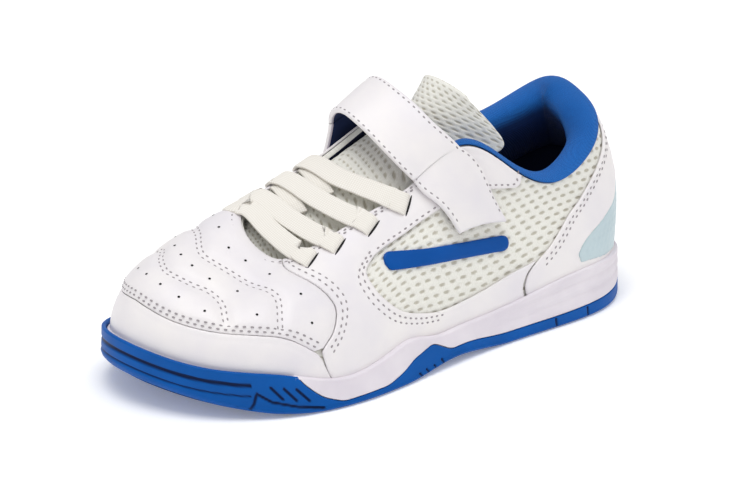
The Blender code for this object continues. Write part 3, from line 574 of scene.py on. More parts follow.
class ShoeColours(bpy.types.PropertyGroup):
    """Colours that change the shoe's colourway"""
    rubber: FloatVectorProperty(name="Outsole", description="Colour of the rubber outsole",
                                subtype="COLOR", default=linear("#0059AD"))
    rubber_shade: FloatVectorProperty(name="Outsole shade", description="Darker tone of the rubber",
                                      subtype="COLOR", default=linear("#00519F"))
    foam: FloatVectorProperty(name="Midsole", description="Colour of the foam midsole",
                              subtype="COLOR", default=linear("#E9E3E9"))
    smooth: FloatVectorProperty(name="Overlays", description="Colour of the smooth overlays",
                                subtype="COLOR", default=linear("#F4F0EF"))
    mesh: FloatVectorProperty(name="Mesh", description="Colour of the mesh and tongue",
                              subtype="COLOR", default=linear("#F2F1EA"))
    # Painted shade in the bottom of each mesh opening
    mesh_opening_shade: FloatVectorProperty(name="Mesh openings", description="Colour in the openings",
                                     subtype="COLOR", default=linear("#C6C1B3"))
    collar: FloatVectorProperty(name="Collar", description="Colour of the collar's threads",
                                subtype="COLOR", default=linear("#2F8FF0"))
    # Painted shade in the gaps between the collar's threads
    collar_gap_shade: FloatVectorProperty(name="Collar gaps", description="Colour between the threads",
                                    subtype="COLOR", default=linear("#063A8C"))
    lining: FloatVectorProperty(name="Lining", description="Colour of the lining and the insole",
                                subtype="COLOR", default=linear("#06245E"))
    pale: FloatVectorProperty(name="Heel panel", description="Colour of the pressed heel panel",
                              subtype="COLOR", default=linear("#C8DADE"))
    lace: FloatVectorProperty(name="Laces", description="Colour of the elastic laces",
                              subtype="COLOR", default=linear("#F5F2EC"))
    bar: FloatVectorProperty(name="Side bar", description="Colour of the bar in the side window",
                             subtype="COLOR", default=linear("#0052A6"))
    # Painted shade: the stitches take the grey of the shaded dips between them
    seam: FloatVectorProperty(name="Seam dips", description="Colour of the dips between stitches",
                              subtype="COLOR", default=linear("#A39DA0"))


class ShoeSizes(bpy.types.PropertyGroup):
    """Sizes of the finish"""
    chart_step: FloatProperty(name="Panel mesh", description="Distance between a panel's vertices",
                              default=0.0009, min=0.0005, unit="LENGTH")
    opening_pitch: FloatProperty(name="Mesh pitch", description="Distance between mesh openings",
                                 default=0.0050, min=0.002, unit="LENGTH")
    opening_row: FloatProperty(name="Mesh rows", description="Distance between rows of openings",
                               default=0.0030, min=0.001, unit="LENGTH")
    stitch_pitch: FloatProperty(name="Stitch pitch", description="Distance from stitch to stitch",
                                default=0.0027, min=0.001, unit="LENGTH")
    row_gap: FloatProperty(name="Twin rows", description="Distance between twin rows of stitches",
                           default=0.0017, min=0.0005, unit="LENGTH")
    quilt_rise: FloatProperty(name="Quilting", description="Rise of the vamp between its channels",
                              default=0.0011, min=0.0, unit="LENGTH")


def colours():
    return bpy.context.scene.shoe_colours


def sizes():
    return bpy.context.scene.shoe_sizes


# Mesh pieces

def settle(work, name, materials, nodes):
    """Turns a bmesh in the chart's frame into a finished piece that rides with the shoe."""
    bmesh.ops.remove_doubles(work, verts=work.verts, dist=1e-6)
    bmesh.ops.dissolve_degenerate(work, edges=work.edges, dist=1e-7)
    bmesh.ops.recalc_face_normals(work, faces=work.faces)
    bmesh.ops.translate(work, verts=work.verts, vec=Vector(SHIFT))
    data = bpy.data.meshes.new(name)
    work.to_mesh(data)
    work.free()
    for mat in materials:
        data.materials.append(mat)
    data.shade_smooth()
    piece = bpy.data.objects.new(name, data)
    bpy.context.scene.collection.objects.link(piece)
    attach(piece, "root")
    if nodes:
        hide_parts(*nodes)
    return piece


def lay_grid(work, across, along, place, cloth=None, marks=None, paint=None, caps=False):
    """Lays a grid by place(s, t), with its real-size cloth chart and named vertex marks."""
    uv = work.loops.layers.uv.get("cloth") or work.loops.layers.uv.new("cloth")
    layers = {}
    for name in marks or {}:
        layers[name] = work.verts.layers.float.get(name) or work.verts.layers.float.new(name)
    grid = bmesh.ops.create_grid(work, x_segments=across, y_segments=along, size=0.5)["verts"]
    flat = np.array([v.co for v in grid]) + 0.5
    s, t = flat[:, 0], flat[:, 1]
    points = place(s, t)
    chart = cloth(s, t) if cloth else np.stack([s, t], -1)
    index = {vert: k for k, vert in enumerate(grid)}
    faces = {face for vert in grid for face in vert.link_faces}
    for face in faces:
        corners = [index[loop.vert] for loop in face.loops]
        for loop, k in zip(face.loops, corners):
            loop[uv].uv = chart[k]
        if paint:
            face.material_index = paint(float(np.mean(s[corners])), float(np.mean(t[corners])))
    for name, values in (marks or {}).items():
        for vert, value in zip(grid, values(s, t)):
            vert[layers[name]] = value
    for vert, point in zip(grid, points):
        vert.co = point
    if caps:
        bmesh.ops.remove_doubles(work, verts=grid, dist=1e-6)
        edges = [e for e in work.edges if len(e.link_faces) == 1]
        bmesh.ops.holes_fill(work, edges=edges)


def chart_panel(name, loop, material, nodes, top=HIGH, bottom=LOW, relief=None,
                edge=0.45 * MM):
    """Overlay: an outline on the chart, cut into a fine net, laid on the upper and thickened."""
    step = sizes().chart_step
    wide, tall = 0.53, 0.080
    work = bmesh.new()
    uv = work.loops.layers.uv.new("cloth")
    place = work.verts.layers.int.new("place")
    rim = [work.verts.new((q[0] * wide, q[1] * tall, 0.0)) for q in loop]
    front = [work.faces.new(rim)]
    bmesh.ops.inset_individual(work, faces=front, thickness=edge * 0.8, use_even_offset=True)
    xs = [v.co.x for v in work.verts]
    ys = [v.co.y for v in work.verts]
    for axis, low, high in ((0, min(xs), max(xs)), (1, min(ys), max(ys))):
        front = list(work.faces)
        count = int((high - low) / step)
        for k in range(1, count + 1):
            at = low + (high - low) * (k - 0.37) / count
            spot = [0.0, 0.0, 0.0]
            spot[axis] = at
            way = [0.0, 0.0, 0.0]
            way[axis] = 1.0
            edges = {e for f in front for e in f.edges}
            verts = {v for f in front for v in f.verts}
            cut = bmesh.ops.bisect_plane(work, geom=[*front, *edges, *verts], dist=1e-8,
                                         plane_co=spot, plane_no=way)
            front = [f for f in cut["geom"] if isinstance(f, bmesh.types.BMFace)
                     and f.calc_center_median()[axis] > at]
    flat = np.array([v.co for v in work.verts])
    u, v = flat[:, 0] / wide, flat[:, 1] / tall
    base = surface(u, v)
    ring = np.array(loop)
    ring = np.concatenate([ring, ring[:1]])
    dense = np.concatenate([a + (b - a) * np.linspace(0, 1, 8, endpoint=False)[:, None]
                            for a, b in zip(ring[:-1], ring[1:])])
    tree = point_tree(surface(dense[:, 0], dense[:, 1]))
    away = np.array([tree.find(p)[2] for p in base])
    lift = np.full(len(u), top)
    if relief:
        lift = lift + relief(u, v, base, away)
    round_off = edge - np.sqrt(np.maximum(edge ** 2 - np.maximum(edge - away, 0.0) ** 2, 0.0))
    raised = base + facing(u, v) * (lift - round_off)[:, None]
    under = base + facing(u, v) * bottom
    chart = cloth_xy(u, v)
    work.verts.index_update()
    for face in work.faces:
        for corner in face.loops:
            corner[uv].uv = chart[corner.vert.index]
    lower = list(work.verts)
    for k, vert in enumerate(lower):
        vert[place] = k
    grown = bmesh.ops.extrude_face_region(work, geom=list(work.faces), use_keep_orig=True)
    upper_verts = [g for g in grown["geom"] if isinstance(g, bmesh.types.BMVert)]
    for vert in upper_verts:
        vert.co = raised[vert[place]]
    for vert in lower:
        vert.co = under[vert[place]]
    return settle(work, name, [material], nodes)


def flip(loop):
    return [(1.0 - q[0], q[1]) for q in loop][::-1]


def mesh_opening(x, y):
    """Share of the way into a mesh opening: staggered slanting ovals, by millimetres of cloth."""
    pitch = sizes().opening_pitch / MM
    row = sizes().opening_row / MM
    x = x + 0.35 * np.sin(y / 9.0) + 0.25 * np.sin(x / 13.0 + y / 5.0)
    k = np.round(y / row)
    dy = y - k * row
    dx = x - 0.45 * dy + 0.5 * pitch * (np.mod(k, 2.0))
    dx = dx - np.round(dx / pitch) * pitch
    far = np.sqrt((dx / (0.34 * pitch)) ** 2 + (dy / (0.24 * row)) ** 2)
    return 1.0 - soft_step(far, 0.5, 1.3)


# The sole's profile at a station

def dense_stations():
    """Stations round the sole, closer where the rubber's edge turns and where slots are cut."""
    half = [np.linspace(0.0, 0.142, 96, endpoint=False), np.linspace(0.142, 0.152, 16, endpoint=False),
            np.linspace(0.152, 0.172, 14, endpoint=False), np.linspace(0.172, 0.182, 18, endpoint=False),
            np.linspace(0.182, 0.258, 56, endpoint=False), np.linspace(0.258, 0.300, 70, endpoint=False),
            np.linspace(0.300, 0.352, 36, endpoint=False), np.linspace(0.352, 0.404, 90, endpoint=False),
            np.linspace(0.404, 0.500, 70)]
    half = np.concatenate(half)
    return np.concatenate([half, 1.0 - half[-2::-1]])


STATIONS = dense_stations()


def sole_lines(u):
    """Outline, outward direction, low edge, trim edge and rim of the sole at given stations."""
    p, n = outline(u)
    rim = rim_at(u)
    near = from_heel(u)
    low = ground(p[:, 0])
    trim_u = [row[0] for row in TRIM]
    trim_z = curve_trim(near, trim_u)
    edge = np.minimum(low * (near < 0.372) + trim_z, rim[:, 0] + 0.2 * MM)
    toe = np.clip((p[:, 0] / SOLE_LENGTH - 0.84) / 0.16, 0.0, 1.0)
    thick = WRAP * (0.62 + 0.38 * soft_step(near, 0.372, 0.385))
    return p, n, near, low, edge, rim, toe, thick


def curve_trim(near, trim_u):
    """Height of the blue edge: its marks joined and softened over a millimetre or two."""
    marks = np.array([row[1] * MIL * RIM_HEIGHT for row in TRIM])
    total = np.zeros_like(near)
    shifts = np.linspace(-0.0028, 0.0028, 7)
    for shift in shifts:
        total = total + np.interp(np.abs(near + shift), trim_u, marks)
    return total / len(shifts)


def wall_in(rim, low, z):
    """How far the side wall leans in at height z."""
    return rim[:, 1] * np.clip((z - low) / np.maximum(rim[:, 0] - low, 1e-6), 0.0, 1.0)


SIDE_SLOTS = [
    # station and height at the foot and at the top: height in thousandths of RIM_HEIGHT
    (0.1770, -40, 0.1775, 190),
    (0.1470, -40, 0.1480, 290),
    (0.2644, 20, 0.2646, 200),
    (0.2700, 25, 0.2710, 150),
    (0.2755, 20, 0.2770, 140),
    (0.2810, 20, 0.2825, 115),
    (0.3640, 250, 0.3720, 480),
    (0.3725, 290, 0.3805, 520),
    (0.3815, 340, 0.3895, 570),
]
SLOT_DEPTH = 0.55 * MM
SLOT_HALF = 0.42 * MM
TOE_LINES = [
    # station, height above the floor in millimetres
    [(0.3990, 9.6), (0.389, 6.3), (0.372, 3.6), (0.355, 1.8)],
    [(0.3995, 9.0), (0.4010, 6.0), (0.4040, 4.0), (0.412, 3.2)],
]


def side_relief(near, z, rim_z):
    """Share of a slot's depth at a place on the rubber's side."""
    x = np.interp(near, _stations, ROUND)
    best = np.full(near.shape, 1.0)

    def line(u0, z0, u1, z1):
        a = np.array([np.interp(u0, _stations, ROUND), z0])
        b = np.array([np.interp(u1, _stations, ROUND), z1])
        d = b - a
        t = np.clip(((x - a[0]) * d[0] + (z - a[1]) * d[1]) / (d @ d), 0.0, 1.0)
        return np.hypot(x - a[0] - t * d[0], z - a[1] - t * d[1])

    for foot, foot_z, top, top_z in SIDE_SLOTS:
        best = np.minimum(best, line(foot, foot_z * MIL * RIM_HEIGHT, top, top_z * MIL * RIM_HEIGHT))
    for path in TOE_LINES:
        for (u0, z0), (u1, z1) in zip(path[:-1], path[1:]):
            best = np.minimum(best, line(u0, z0 * MM, u1, z1 * MM))
    off = np.maximum(0.403 - near, 0.0)
    groove = np.abs(z - (rim_z - 0.21 * RIM_HEIGHT)) + off
    best = np.minimum(best, np.maximum(groove - 0.25 * MM, 0.0))
    best = np.minimum(best, np.abs(z - (rim_z - 0.40 * RIM_HEIGHT)) + 0.2 * MM + off)
    block = np.abs(np.mod(x / MM, 4.6) - 2.3) * MM
    lower = np.maximum(z - (rim_z - 0.62 * RIM_HEIGHT), 0.0)
    best = np.minimum(best, block + lower + off)
    return 1.0 - soft_step(best, 0.6 * SLOT_HALF, 1.5 * SLOT_HALF)


BARS = [45, 110, 190, 255, 575, 622, 812, 865]
RING_AT = (0.715, 0.02)
RING_BANDS = (0.145, 0.170)


def tread(x, y, border):
    """How deep the tread is cut at a place on the underside."""
    s = x / SOLE_LENGTH
    zigzag = np.abs(np.mod((x + 0.9 * np.abs(np.mod(y / MM, 12.0) - 6.0) * MM) / MM, 4.4) - 2.2) / 2.2
    depth = 0.8 * MM * soft_step(zigzag, 0.55, 0.85) * soft_step(border, 3.4 * MM, 4.2 * MM)
    far = np.hypot(x - RING_AT[0] * SOLE_LENGTH, y - RING_AT[1] * BALL_WIDTH) / BALL_WIDTH
    band = np.abs(far - (RING_BANDS[0] + RING_BANDS[1]) / 2) * BALL_WIDTH
    plain_disc = soft_step(far, RING_BANDS[0] - 0.01, RING_BANDS[0])
    depth = depth * plain_disc
    circles = 0.6 * MM * soft_step(np.abs(np.mod(far * BALL_WIDTH / MM, 3.2) - 1.6), 0.7, 1.2)
    depth = np.maximum(depth, circles * (1.0 - plain_disc) * (far > 0.01))
    depth = np.maximum(depth, 1.3 * MM * (1.0 - soft_step(band, 0.9 * MM, 1.3 * MM)))
    for share in BARS:
        off = np.abs(s - share * MIL) * SOLE_LENGTH
        depth = np.maximum(depth, 1.3 * MM * (1.0 - soft_step(off, 0.9 * MM, 1.3 * MM)))
    return depth


def outsole_wall(s, t):
    u = spread_over(s, STATIONS)
    p, n, near, low, edge, rim, toe, thick = sole_lines(u)
    base_in = BASE_IN + BASE_IN_TOE * toe
    foot = np.minimum(low + SIDE_UP + SIDE_UP_TOE * toe, edge - 0.6 * MM)
    crown = np.minimum(0.45 * MM, 0.4 * (edge - foot))
    # bottom corner, wall, rounded top edge, back
    bend = np.clip(t / 0.14, 0.0, 1.0) * math.pi / 2
    up = np.clip((t - 0.14) / 0.62, 0.0, 1.0)
    turn = np.clip((t - 0.76) / 0.10, 0.0, 1.0) * math.pi
    down = np.clip((t - 0.86) / 0.14, 0.0, 1.0)
    z = low + (foot - low) * (1.0 - np.cos(bend))
    z = z + (edge - crown - foot) * up
    z = z + crown * np.sin(turn)
    z = z + (low + PLATE - edge + crown) * down
    inset = base_in * (1.0 - np.sin(bend)) + wall_in(rim, low, z) * (t > 0.14)
    inset = inset + thick * (1.0 - np.cos(turn)) / 2
    inset = inset * (down == 0) + (down > 0) * (wall_in(rim, low, edge) + thick + 0.4 * MM * down)
    dent = side_relief(near, z, rim[:, 0]) * (t > 0.10) * (t < 0.76)
    inset = inset + SLOT_DEPTH * dent
    flat = p - n * inset[:, None]
    return np.column_stack([flat, z])


def outsole_dip(s, t):
    u = spread_over(s, STATIONS)
    z = outsole_wall(s, t)[:, 2]
    near = from_heel(u)
    return side_relief(near, z, rim_at(u)[:, 0]) * (t > 0.10) * (t < 0.76)


def outsole_bottom(s, t):
    u = spread_over(s, STATIONS[:(len(STATIONS) + 1) // 2])
    ends = []
    for side in (u, 1.0 - u):
        p, n, *_, toe, _ = sole_lines(side)
        ends.append(p - n * (BASE_IN + BASE_IN_TOE * toe)[:, None])
    at = ends[0] + (ends[1] - ends[0]) * t[:, None]
    width = np.linalg.norm(ends[1] - ends[0], axis=1)
    border = np.minimum(t, 1.0 - t) * width
    border = np.minimum(border, np.minimum(at[:, 0], SOLE_LENGTH - at[:, 0]))
    z = ground(at[:, 0]) + tread(at[:, 0], at[:, 1], border) * soft_step(border, 0.0, 0.3 * MM)
    return np.column_stack([at, z])


def lip_swell(near):
    """The lip rises over the rubber's fin and dips behind it."""
    return 1.6 * MM * np.exp(-((near - 0.283) / 0.010) ** 2 / 2) \
        - 0.9 * MM * np.exp(-((near - 0.260) / 0.008) ** 2 / 2)


def midsole_wall(s, t):
    u = spread_over(s, STATIONS)
    p, n, near, low, edge, rim, _, thick = sole_lines(u)
    slim = soft_step(near, 0.3715, 0.3745)
    floor = rim[:, 0] - CUP_DEPTH - 3 * GAP
    lip_z = rim[:, 0] + lip_swell(near) - 1.0 * MM * slim
    under = low + PLATE + 1.6 * GAP
    step = np.minimum(edge + 0.25 * MM, lip_z - 0.3 * MM)
    back = wall_in(rim, low, edge) + thick + GAP
    crown = 0.7 * MM
    levels = np.linspace(0.0, 0.35, 36)
    lip_gap = OVERLAY + 0.8 * GAP
    su, index = np.unique(u, return_inverse=True)
    path = surface(su[:, None], levels[None, :])
    rim_u = rim_at(su)[:, 0]
    near_u = from_heel(su)
    slim_u = soft_step(near_u, 0.3715, 0.3745)
    lip_u = rim_u + lip_swell(near_u) - 1.0 * MM * slim_u
    v = np.array([np.interp(z, row[:, 2], levels) for z, row in zip(lip_u, path)])
    top = shell(su, v, lip_gap)
    top_in = ((outline(su)[0] - top[:, :2]) * outline(su)[1]).sum(1)[index]
    foot = shell(su, 0.0, lip_gap)
    foot_in = ((outline(su)[0] - foot[:, :2]) * outline(su)[1]).sum(1)[index]
    outer = np.where(slim > 0.5, back, 0.0)
    keys_t = [0.0, 0.10, 0.13, 0.62, 0.70, 0.84, 0.90, 0.97, 1.0]
    wall_foot = np.maximum(wall_in(rim, low, step), outer)
    wall_top = np.maximum(wall_in(rim, low, lip_z), outer)
    keys_in = [back, back, wall_foot, wall_top, wall_top + 0.45 * (top_in - wall_top), top_in, foot_in,
               foot_in + 1.0 * MM, foot_in + 4.0 * MM]
    keys_z = [under, step, step + 0.05 * MM, lip_z - crown, lip_z, lip_z, floor, floor, floor]
    inset = np.zeros(len(t))
    z = np.zeros(len(t))
    for k in range(len(keys_t) - 1):
        a, b = keys_t[k], keys_t[k + 1]
        share = np.clip((t - a) / (b - a), 0.0, 1.0)
        here = (t >= a) & (t <= b)
        one_in = keys_in[k] + (keys_in[k + 1] - keys_in[k]) * share
        one_z = keys_z[k] + (keys_z[k + 1] - keys_z[k]) * share
        if k == 3:
            one_in = keys_in[k] + (keys_in[k + 1] - keys_in[k]) * (1.0 - np.cos(share * math.pi / 2))
            one_z = keys_z[k] + (keys_z[k + 1] - keys_z[k]) * np.sin(share * math.pi / 2)
        inset = np.where(here, one_in, inset)
        z = np.where(here, one_z, z)
    # two soft grooves round the heel and a swelling of the foam between them
    heel = 1.0 - soft_step(near, 0.17, 0.24)
    span = (z - step) / np.maximum(lip_z - step, 1e-6)
    wall = (t > 0.13) & (t < 0.64)
    for at in (0.36, 0.70):
        inset = inset + wall * heel * 0.5 * MM * np.exp(-((span - at) / 0.07) ** 2)
    flat = p - n * inset[:, None]
    return np.column_stack([flat, z])


def ring_cloth(s, t):
    """Distance round the sole and up the profile in millimetres."""
    return np.stack([s * ROUND[-1] / MM, t * 30.0], -1)


# Upper and its overlays

SEAM = [(0.3430, 0.02), (0.3530, 0.16), (0.3600, 0.21), (0.381, 0.275), (0.402, 0.29),
        (0.443, 0.275), (0.470, 0.26), (0.500, 0.27)]
FRONT = [(0.447, 0.993), (0.402, 0.79), (0.375, 0.65), (0.357, 0.53), (0.3485, 0.44),
         (0.3475, 0.33), (0.353, 0.235)]
BEHIND = [(0.3418, 0.012), (0.3492, 0.12), (0.3540, 0.213)]
REAR = [(0.1955, 0.012), (0.1985, 0.10), (0.1990, 0.17), (0.1960, 0.25), (0.190, 0.315)]
WINDOW = [(0.190, 0.315), (0.206, 0.28), (0.230, 0.21), (0.255, 0.175), (0.272, 0.20),
          (0.289, 0.265), (0.305, 0.38), (0.319, 0.50), (0.328, 0.61), (0.322, 0.68)]
UPPER_EDGE = [(0.322, 0.68), (0.310, 0.695), (0.289, 0.69), (0.269, 0.68), (0.250, 0.69),
              (0.230, 0.75), (0.212, 0.83), (0.203, 0.90), (0.201, 0.993)]
COUNTER = [(0.1935, 0.012), (0.1965, 0.10), (0.1970, 0.17), (0.1940, 0.25), (0.187, 0.315),
           (0.175, 0.42), (0.156, 0.63), (0.140, 0.72), (0.124, 0.79), (0.100, 0.86), (0.072, 0.90),
           (0.045, 0.92)]
PALE_SIDE = [(0.150, 0.12), (0.152, 0.22), (0.140, 0.32), (0.112, 0.37), (0.085, 0.42), (0.070, 0.52)]
CHANNELS = [
    [(0.431, 0.36), (0.446, 0.51), (0.464, 0.58), (0.480, 0.56), (0.500, 0.53)],
    [(0.388, 0.33), (0.397, 0.51), (0.408, 0.62), (0.430, 0.71), (0.467, 0.78), (0.500, 0.75)],
]
THROAT = [(0.262, 0.965), (0.320, 0.965), (0.370, 0.962), (0.425, 0.955), (0.465, 0.950), (0.500, 0.948)]
HOLES = [(0.508, 0.45), (0.491, 0.45), (0.474, 0.44), (0.452, 0.42), (0.508, 0.67), (0.492, 0.67),
         (0.474, 0.67), (0.446, 0.66), (0.411, 0.45), (0.495, 0.89), (0.475, 0.90), (0.434, 0.84),
         (0.383, 0.59), (0.367, 0.39)]


def both_sides(half):
    """A half curve that ends on the toe's middle line, carried on down the inner side."""
    return half + flip(half)[1:]


def points(curve, count):
    return [tuple(q) for q in through(curve, count)]


def cap_outline():
    loop = both_sides(points(SEAM, 60))
    return loop + points([(0.655, 0.012), (0.5, 0.012), (0.345, 0.012)], 90)


def vamp_outline():
    ahead = [(q[0] + 0.0009, q[1]) for q in points(FRONT, 46)]
    above = [(q[0], q[1] + 0.005) for q in points(SEAM[2:], 40)]
    loop = both_sides(ahead + above)
    return loop + points([(0.550, 0.993), (0.5, 0.993), (0.450, 0.993)], 30)


def quarter_outline():
    loop = points(BEHIND, 12) + points(FRONT[::-1], 48)
    loop += points([(0.444, 0.993), (0.32, 0.993), (0.203, 0.993)], 80)
    loop += points(UPPER_EDGE[::-1], 50) + points(WINDOW[::-1], 70)[1:] + points(REAR[::-1], 18)[1:]
    return loop + points([(0.198, 0.012), (0.267, 0.012), (0.337, 0.012)], 50)


def counter_outline():
    side = points(COUNTER, 60)
    loop = side + points([(0.045, 0.92), (0.0, 0.93), (-0.045, 0.92)], 36)[1:-1]
    loop += [(-q[0], q[1]) for q in side[::-1]]
    return loop + points([(-0.190, 0.012), (0.0, 0.012), (0.190, 0.012)], 120)


def pale_outline(inset=0.0):
    side = points(PALE_SIDE, 30)
    loop = side + points([(0.070, 0.52), (0.0, 0.56), (-0.070, 0.52)], 40)[1:-1]
    loop += [(-q[0], q[1]) for q in side[::-1]]
    loop += points([(-0.150, 0.12), (-0.10, 0.06), (0.0, 0.05), (0.10, 0.06), (0.150, 0.12)], 70)[1:-1]
    if inset:
        mid = np.mean(loop, axis=0)
        out = []
        for q in loop:
            du, dv = q[0] - mid[0], q[1] - mid[1]
            far = math.hypot(du, 0.13 * dv)
            out.append((mid[0] + du * (1 - inset / far), mid[1] + dv * (1 - inset / far)))
        loop = out
    return loop


BAR_ENDS = ((118.8, 40.2), (68.8, 36.0))
BAR_HALF = 2.8


def chart_spot(x, z, u, v):
    """Station and level of a place given by its distance along the shoe and its height."""
    for _ in range(12):
        here = surface(u, v)
        du = (surface(u + 1e-4, v) - here) / 1e-4
        dv = (surface(u, v + 1e-4) - here) / 1e-4
        ex, ez = x - here[..., 0], z - here[..., 2]
        size = du[..., 0] * dv[..., 2] - du[..., 2] * dv[..., 0]
        u = u + (ex * dv[..., 2] - ez * dv[..., 0]) / size
        v = v + (ez * du[..., 0] - ex * du[..., 2]) / size
    return u, v


def bar_outline():
    """A plain straight bar with round ends, laid out in side view."""
    a, b = np.array(BAR_ENDS) * MM
    way = unit(b - a)
    side = np.array([-way[1], way[0]])
    turn = np.linspace(-math.pi / 2, math.pi / 2, 15)[:, None]
    far = np.concatenate([b + BAR_HALF * MM * (way * np.cos(turn) + side * np.sin(turn)),
                          a - BAR_HALF * MM * (way * np.cos(turn) + side * np.sin(turn))])
    ring = np.concatenate([far, far[:1]])
    step = np.linalg.norm(np.diff(ring, axis=0), axis=1)
    at = np.linspace(0.0, step.sum(), 120, endpoint=False)
    path = np.concatenate([[0.0], np.cumsum(step)])
    x, z = np.interp(at, path, ring[:, 0]), np.interp(at, path, ring[:, 1])
    u, v = chart_spot(x, z, np.full(120, 0.26), np.full(120, 0.5))
    return list(zip(u, v))


def inside_loop(u, v, loop):
    odd = np.zeros(np.shape(u), bool)
    for (x0, y0), (x1, y1) in zip(loop, loop[1:] + loop[:1]):
        if y0 == y1:
            continue
        cross = (y0 > v) != (y1 > v)
        odd ^= cross & (u < x0 + (v - y0) * (x1 - x0) / (y1 - y0))
    return odd


def distance_to(spots, curves):
    """Distance from each spot to the nearest of a few curves drawn on the chart."""
    dense = np.concatenate([through(c, 500) for c in curves])
    tree = point_tree(surface(dense[:, 0], dense[:, 1]))
    return np.array([tree.find(spot)[2] for spot in spots])


def channel_curves():
    return [both_sides(points(c, 40)) for c in CHANNELS]


def quilting(u, v, base, away):
    """The vamp swells between its sewn channels."""
    near = np.minimum(distance_to(base, channel_curves()), away + 0.2 * MM)
    return sizes().quilt_rise * (1.0 - np.exp(-(near / (2.6 * MM)) ** 2))


def swelling(row, away):
    """The quilted vamp's rise along a row on the chart, and none beside the vamp."""
    u, v = row[:, 0], row[:, 1]
    ahead = np.minimum(u, 1.0 - u) > np.interp(v, [q[1] for q in FRONT[::-1]], [q[0] for q in FRONT[::-1]])
    return ahead * quilting(u, v, surface(u, v), np.full(len(u), away))


def soft_edges(u, v, base, away):
    """A smooth overlay dips a little along the row of stitches inside its edge."""
    return -0.12 * MM * np.exp(-((away - 2.2 * MM) / (0.9 * MM)) ** 2)


def heel_recess(u, v, base, away):
    """The counter is pressed in where the pale panel lies."""
    loop = pale_outline()
    turned = np.where(u > 0.5, u - 1.0, u)
    inner = inside_loop(turned, v, loop)
    near = distance_to(base, [loop + loop[:1]])
    return soft_edges(u, v, base, away) - 0.7 * MM * inner * soft_step(near, 0.0, 0.9 * MM)


def dimples(u, v, base, away):
    """The pale panel is pressed with rows of shallow dimples."""
    chart = cloth_xy(u, v)
    x = chart[:, 0] - 0.5 * np.mod(np.round(chart[:, 1] / 2.6), 2.0) * 3.0
    dx = x - np.round(x / 3.0) * 3.0
    dy = chart[:, 1] - np.round(chart[:, 1] / 2.6) * 2.6
    return -0.35 * MM * np.exp(-(dx ** 2 + dy ** 2) / 0.7 ** 2) * soft_step(away, 1.5 * MM, 3 * MM)


def upper_stations():
    half = np.concatenate([np.linspace(0.0, 0.335, 300, endpoint=False), np.linspace(0.335, 0.5, 34)])
    return np.concatenate([half, 1.0 - half[-2::-1]])


UPPER_STATIONS = upper_stations()


def upper_chart(s, t):
    """Outer wall up, over the edge, inner wall down."""
    u = spread_over(s, UPPER_STATIONS)
    v = np.interp(t, [0.0, 0.04, 0.90, 0.93, 1.0], [0.0, 0.11, 1.0, 1.0, 0.0])
    return u, v


def upper_wall(s, t):
    height = -UPPER_WALL * soft_step(t, 0.90, 0.93) - MESH_DIP * upper_dip(s, t)
    return shell(*upper_chart(s, t), height)


def upper_dip(s, t):
    """Mesh openings on the outer wall."""
    xy = upper_cloth(s, t)
    return mesh_opening(xy[:, 0], xy[:, 1]) * (t < 0.895) * (t > 0.04)


def upper_cloth(s, t):
    return cloth_xy(*upper_chart(s, t))


# Collar

COLLAR_REACH = 0.262


def collar_keys(u):
    pad = np.interp(np.abs(u), [0.0, 0.08, 0.167, 0.21, 0.262],
                    [COLLAR_PAD, COLLAR_PAD, 0.68 * COLLAR_PAD, 0.45 * COLLAR_PAD, 0.27 * COLLAR_PAD])
    o = surface(u, 1.0)
    out = facing(u, 1.0)
    up = unit(o - surface(u, 0.97))
    clear = UPPER_WALL + 1.2 * GAP
    wide = (clear + pad)[:, None]
    keys = [o - out * clear + up * GAP * 1.2]
    for v in (0.94, 0.86, 0.72, 0.55):
        keys.append(shell(u, v, -clear))
    keys.append(shell(u, 0.55, -clear - 0.35 * pad))
    keys.append(shell(u, 0.72, -clear - 0.80 * pad))
    keys.append(shell(u, 0.86, -clear - pad))
    keys.append(shell(u, 0.94, -clear - pad))
    for k in range(6):
        turn = math.pi * k / 5
        mid = (0.8 * MM - wide) / 2
        reach = (0.8 * MM + wide) / 2
        keys.append(o + out * (mid - reach * math.cos(turn))
                    + up * (GAP * 1.2 + COLLAR_ROLL * wide * math.sin(turn)))
    return np.stack(keys, 1)


def product(s, t):
    """The distinct shares of a grid and where each vertex finds them."""
    su, si = np.unique(np.round(s, 7), return_inverse=True)
    tu, ti = np.unique(np.round(t, 7), return_inverse=True)
    return su, si, tu, ti


def collar_place(s, t):
    su, si, tu, ti = product(s, t)
    keys = collar_keys(COLLAR_REACH * (2.0 * su - 1.0))
    weights = curve_weights(np.where(tu > 0.9999999, 0.0, tu), keys.shape[1], closed=True)
    dense = np.einsum("tk,skc->stc", weights, keys)
    return dense[si, ti]


def collar_cloth(s, t):
    return np.stack([s * 300.0, t * 100.0], -1)


def collar_lining_and_shade(s, t):
    """0 on the blue roll, 1 down inside on the dark navy lining, made darker there partly as painted shade.
    """
    return soft_step(t * 15, 8.9, 7.7)


# Tongue

SPREAD = np.array([0.80, 0.90, 1.0, 1.26, 1.36, 1.44, 1.5, 1.56, 1.64, 1.74, 2.0, 2.10, 2.20])
FREE = [
    # centre along, height, half width, edge along, height: thousandths of the length, the instep
    # height, the ball width, the length and the instep height
    (420, 1060, 145, 262, 835),
    (395, 1135, 150, 280, 945),
    (368, 1215, 135, 322, 1080),
]


# The tongue's cloth in millimetres
TONGUE_ACROSS = 78.0
TONGUE_ALONG = 150.0


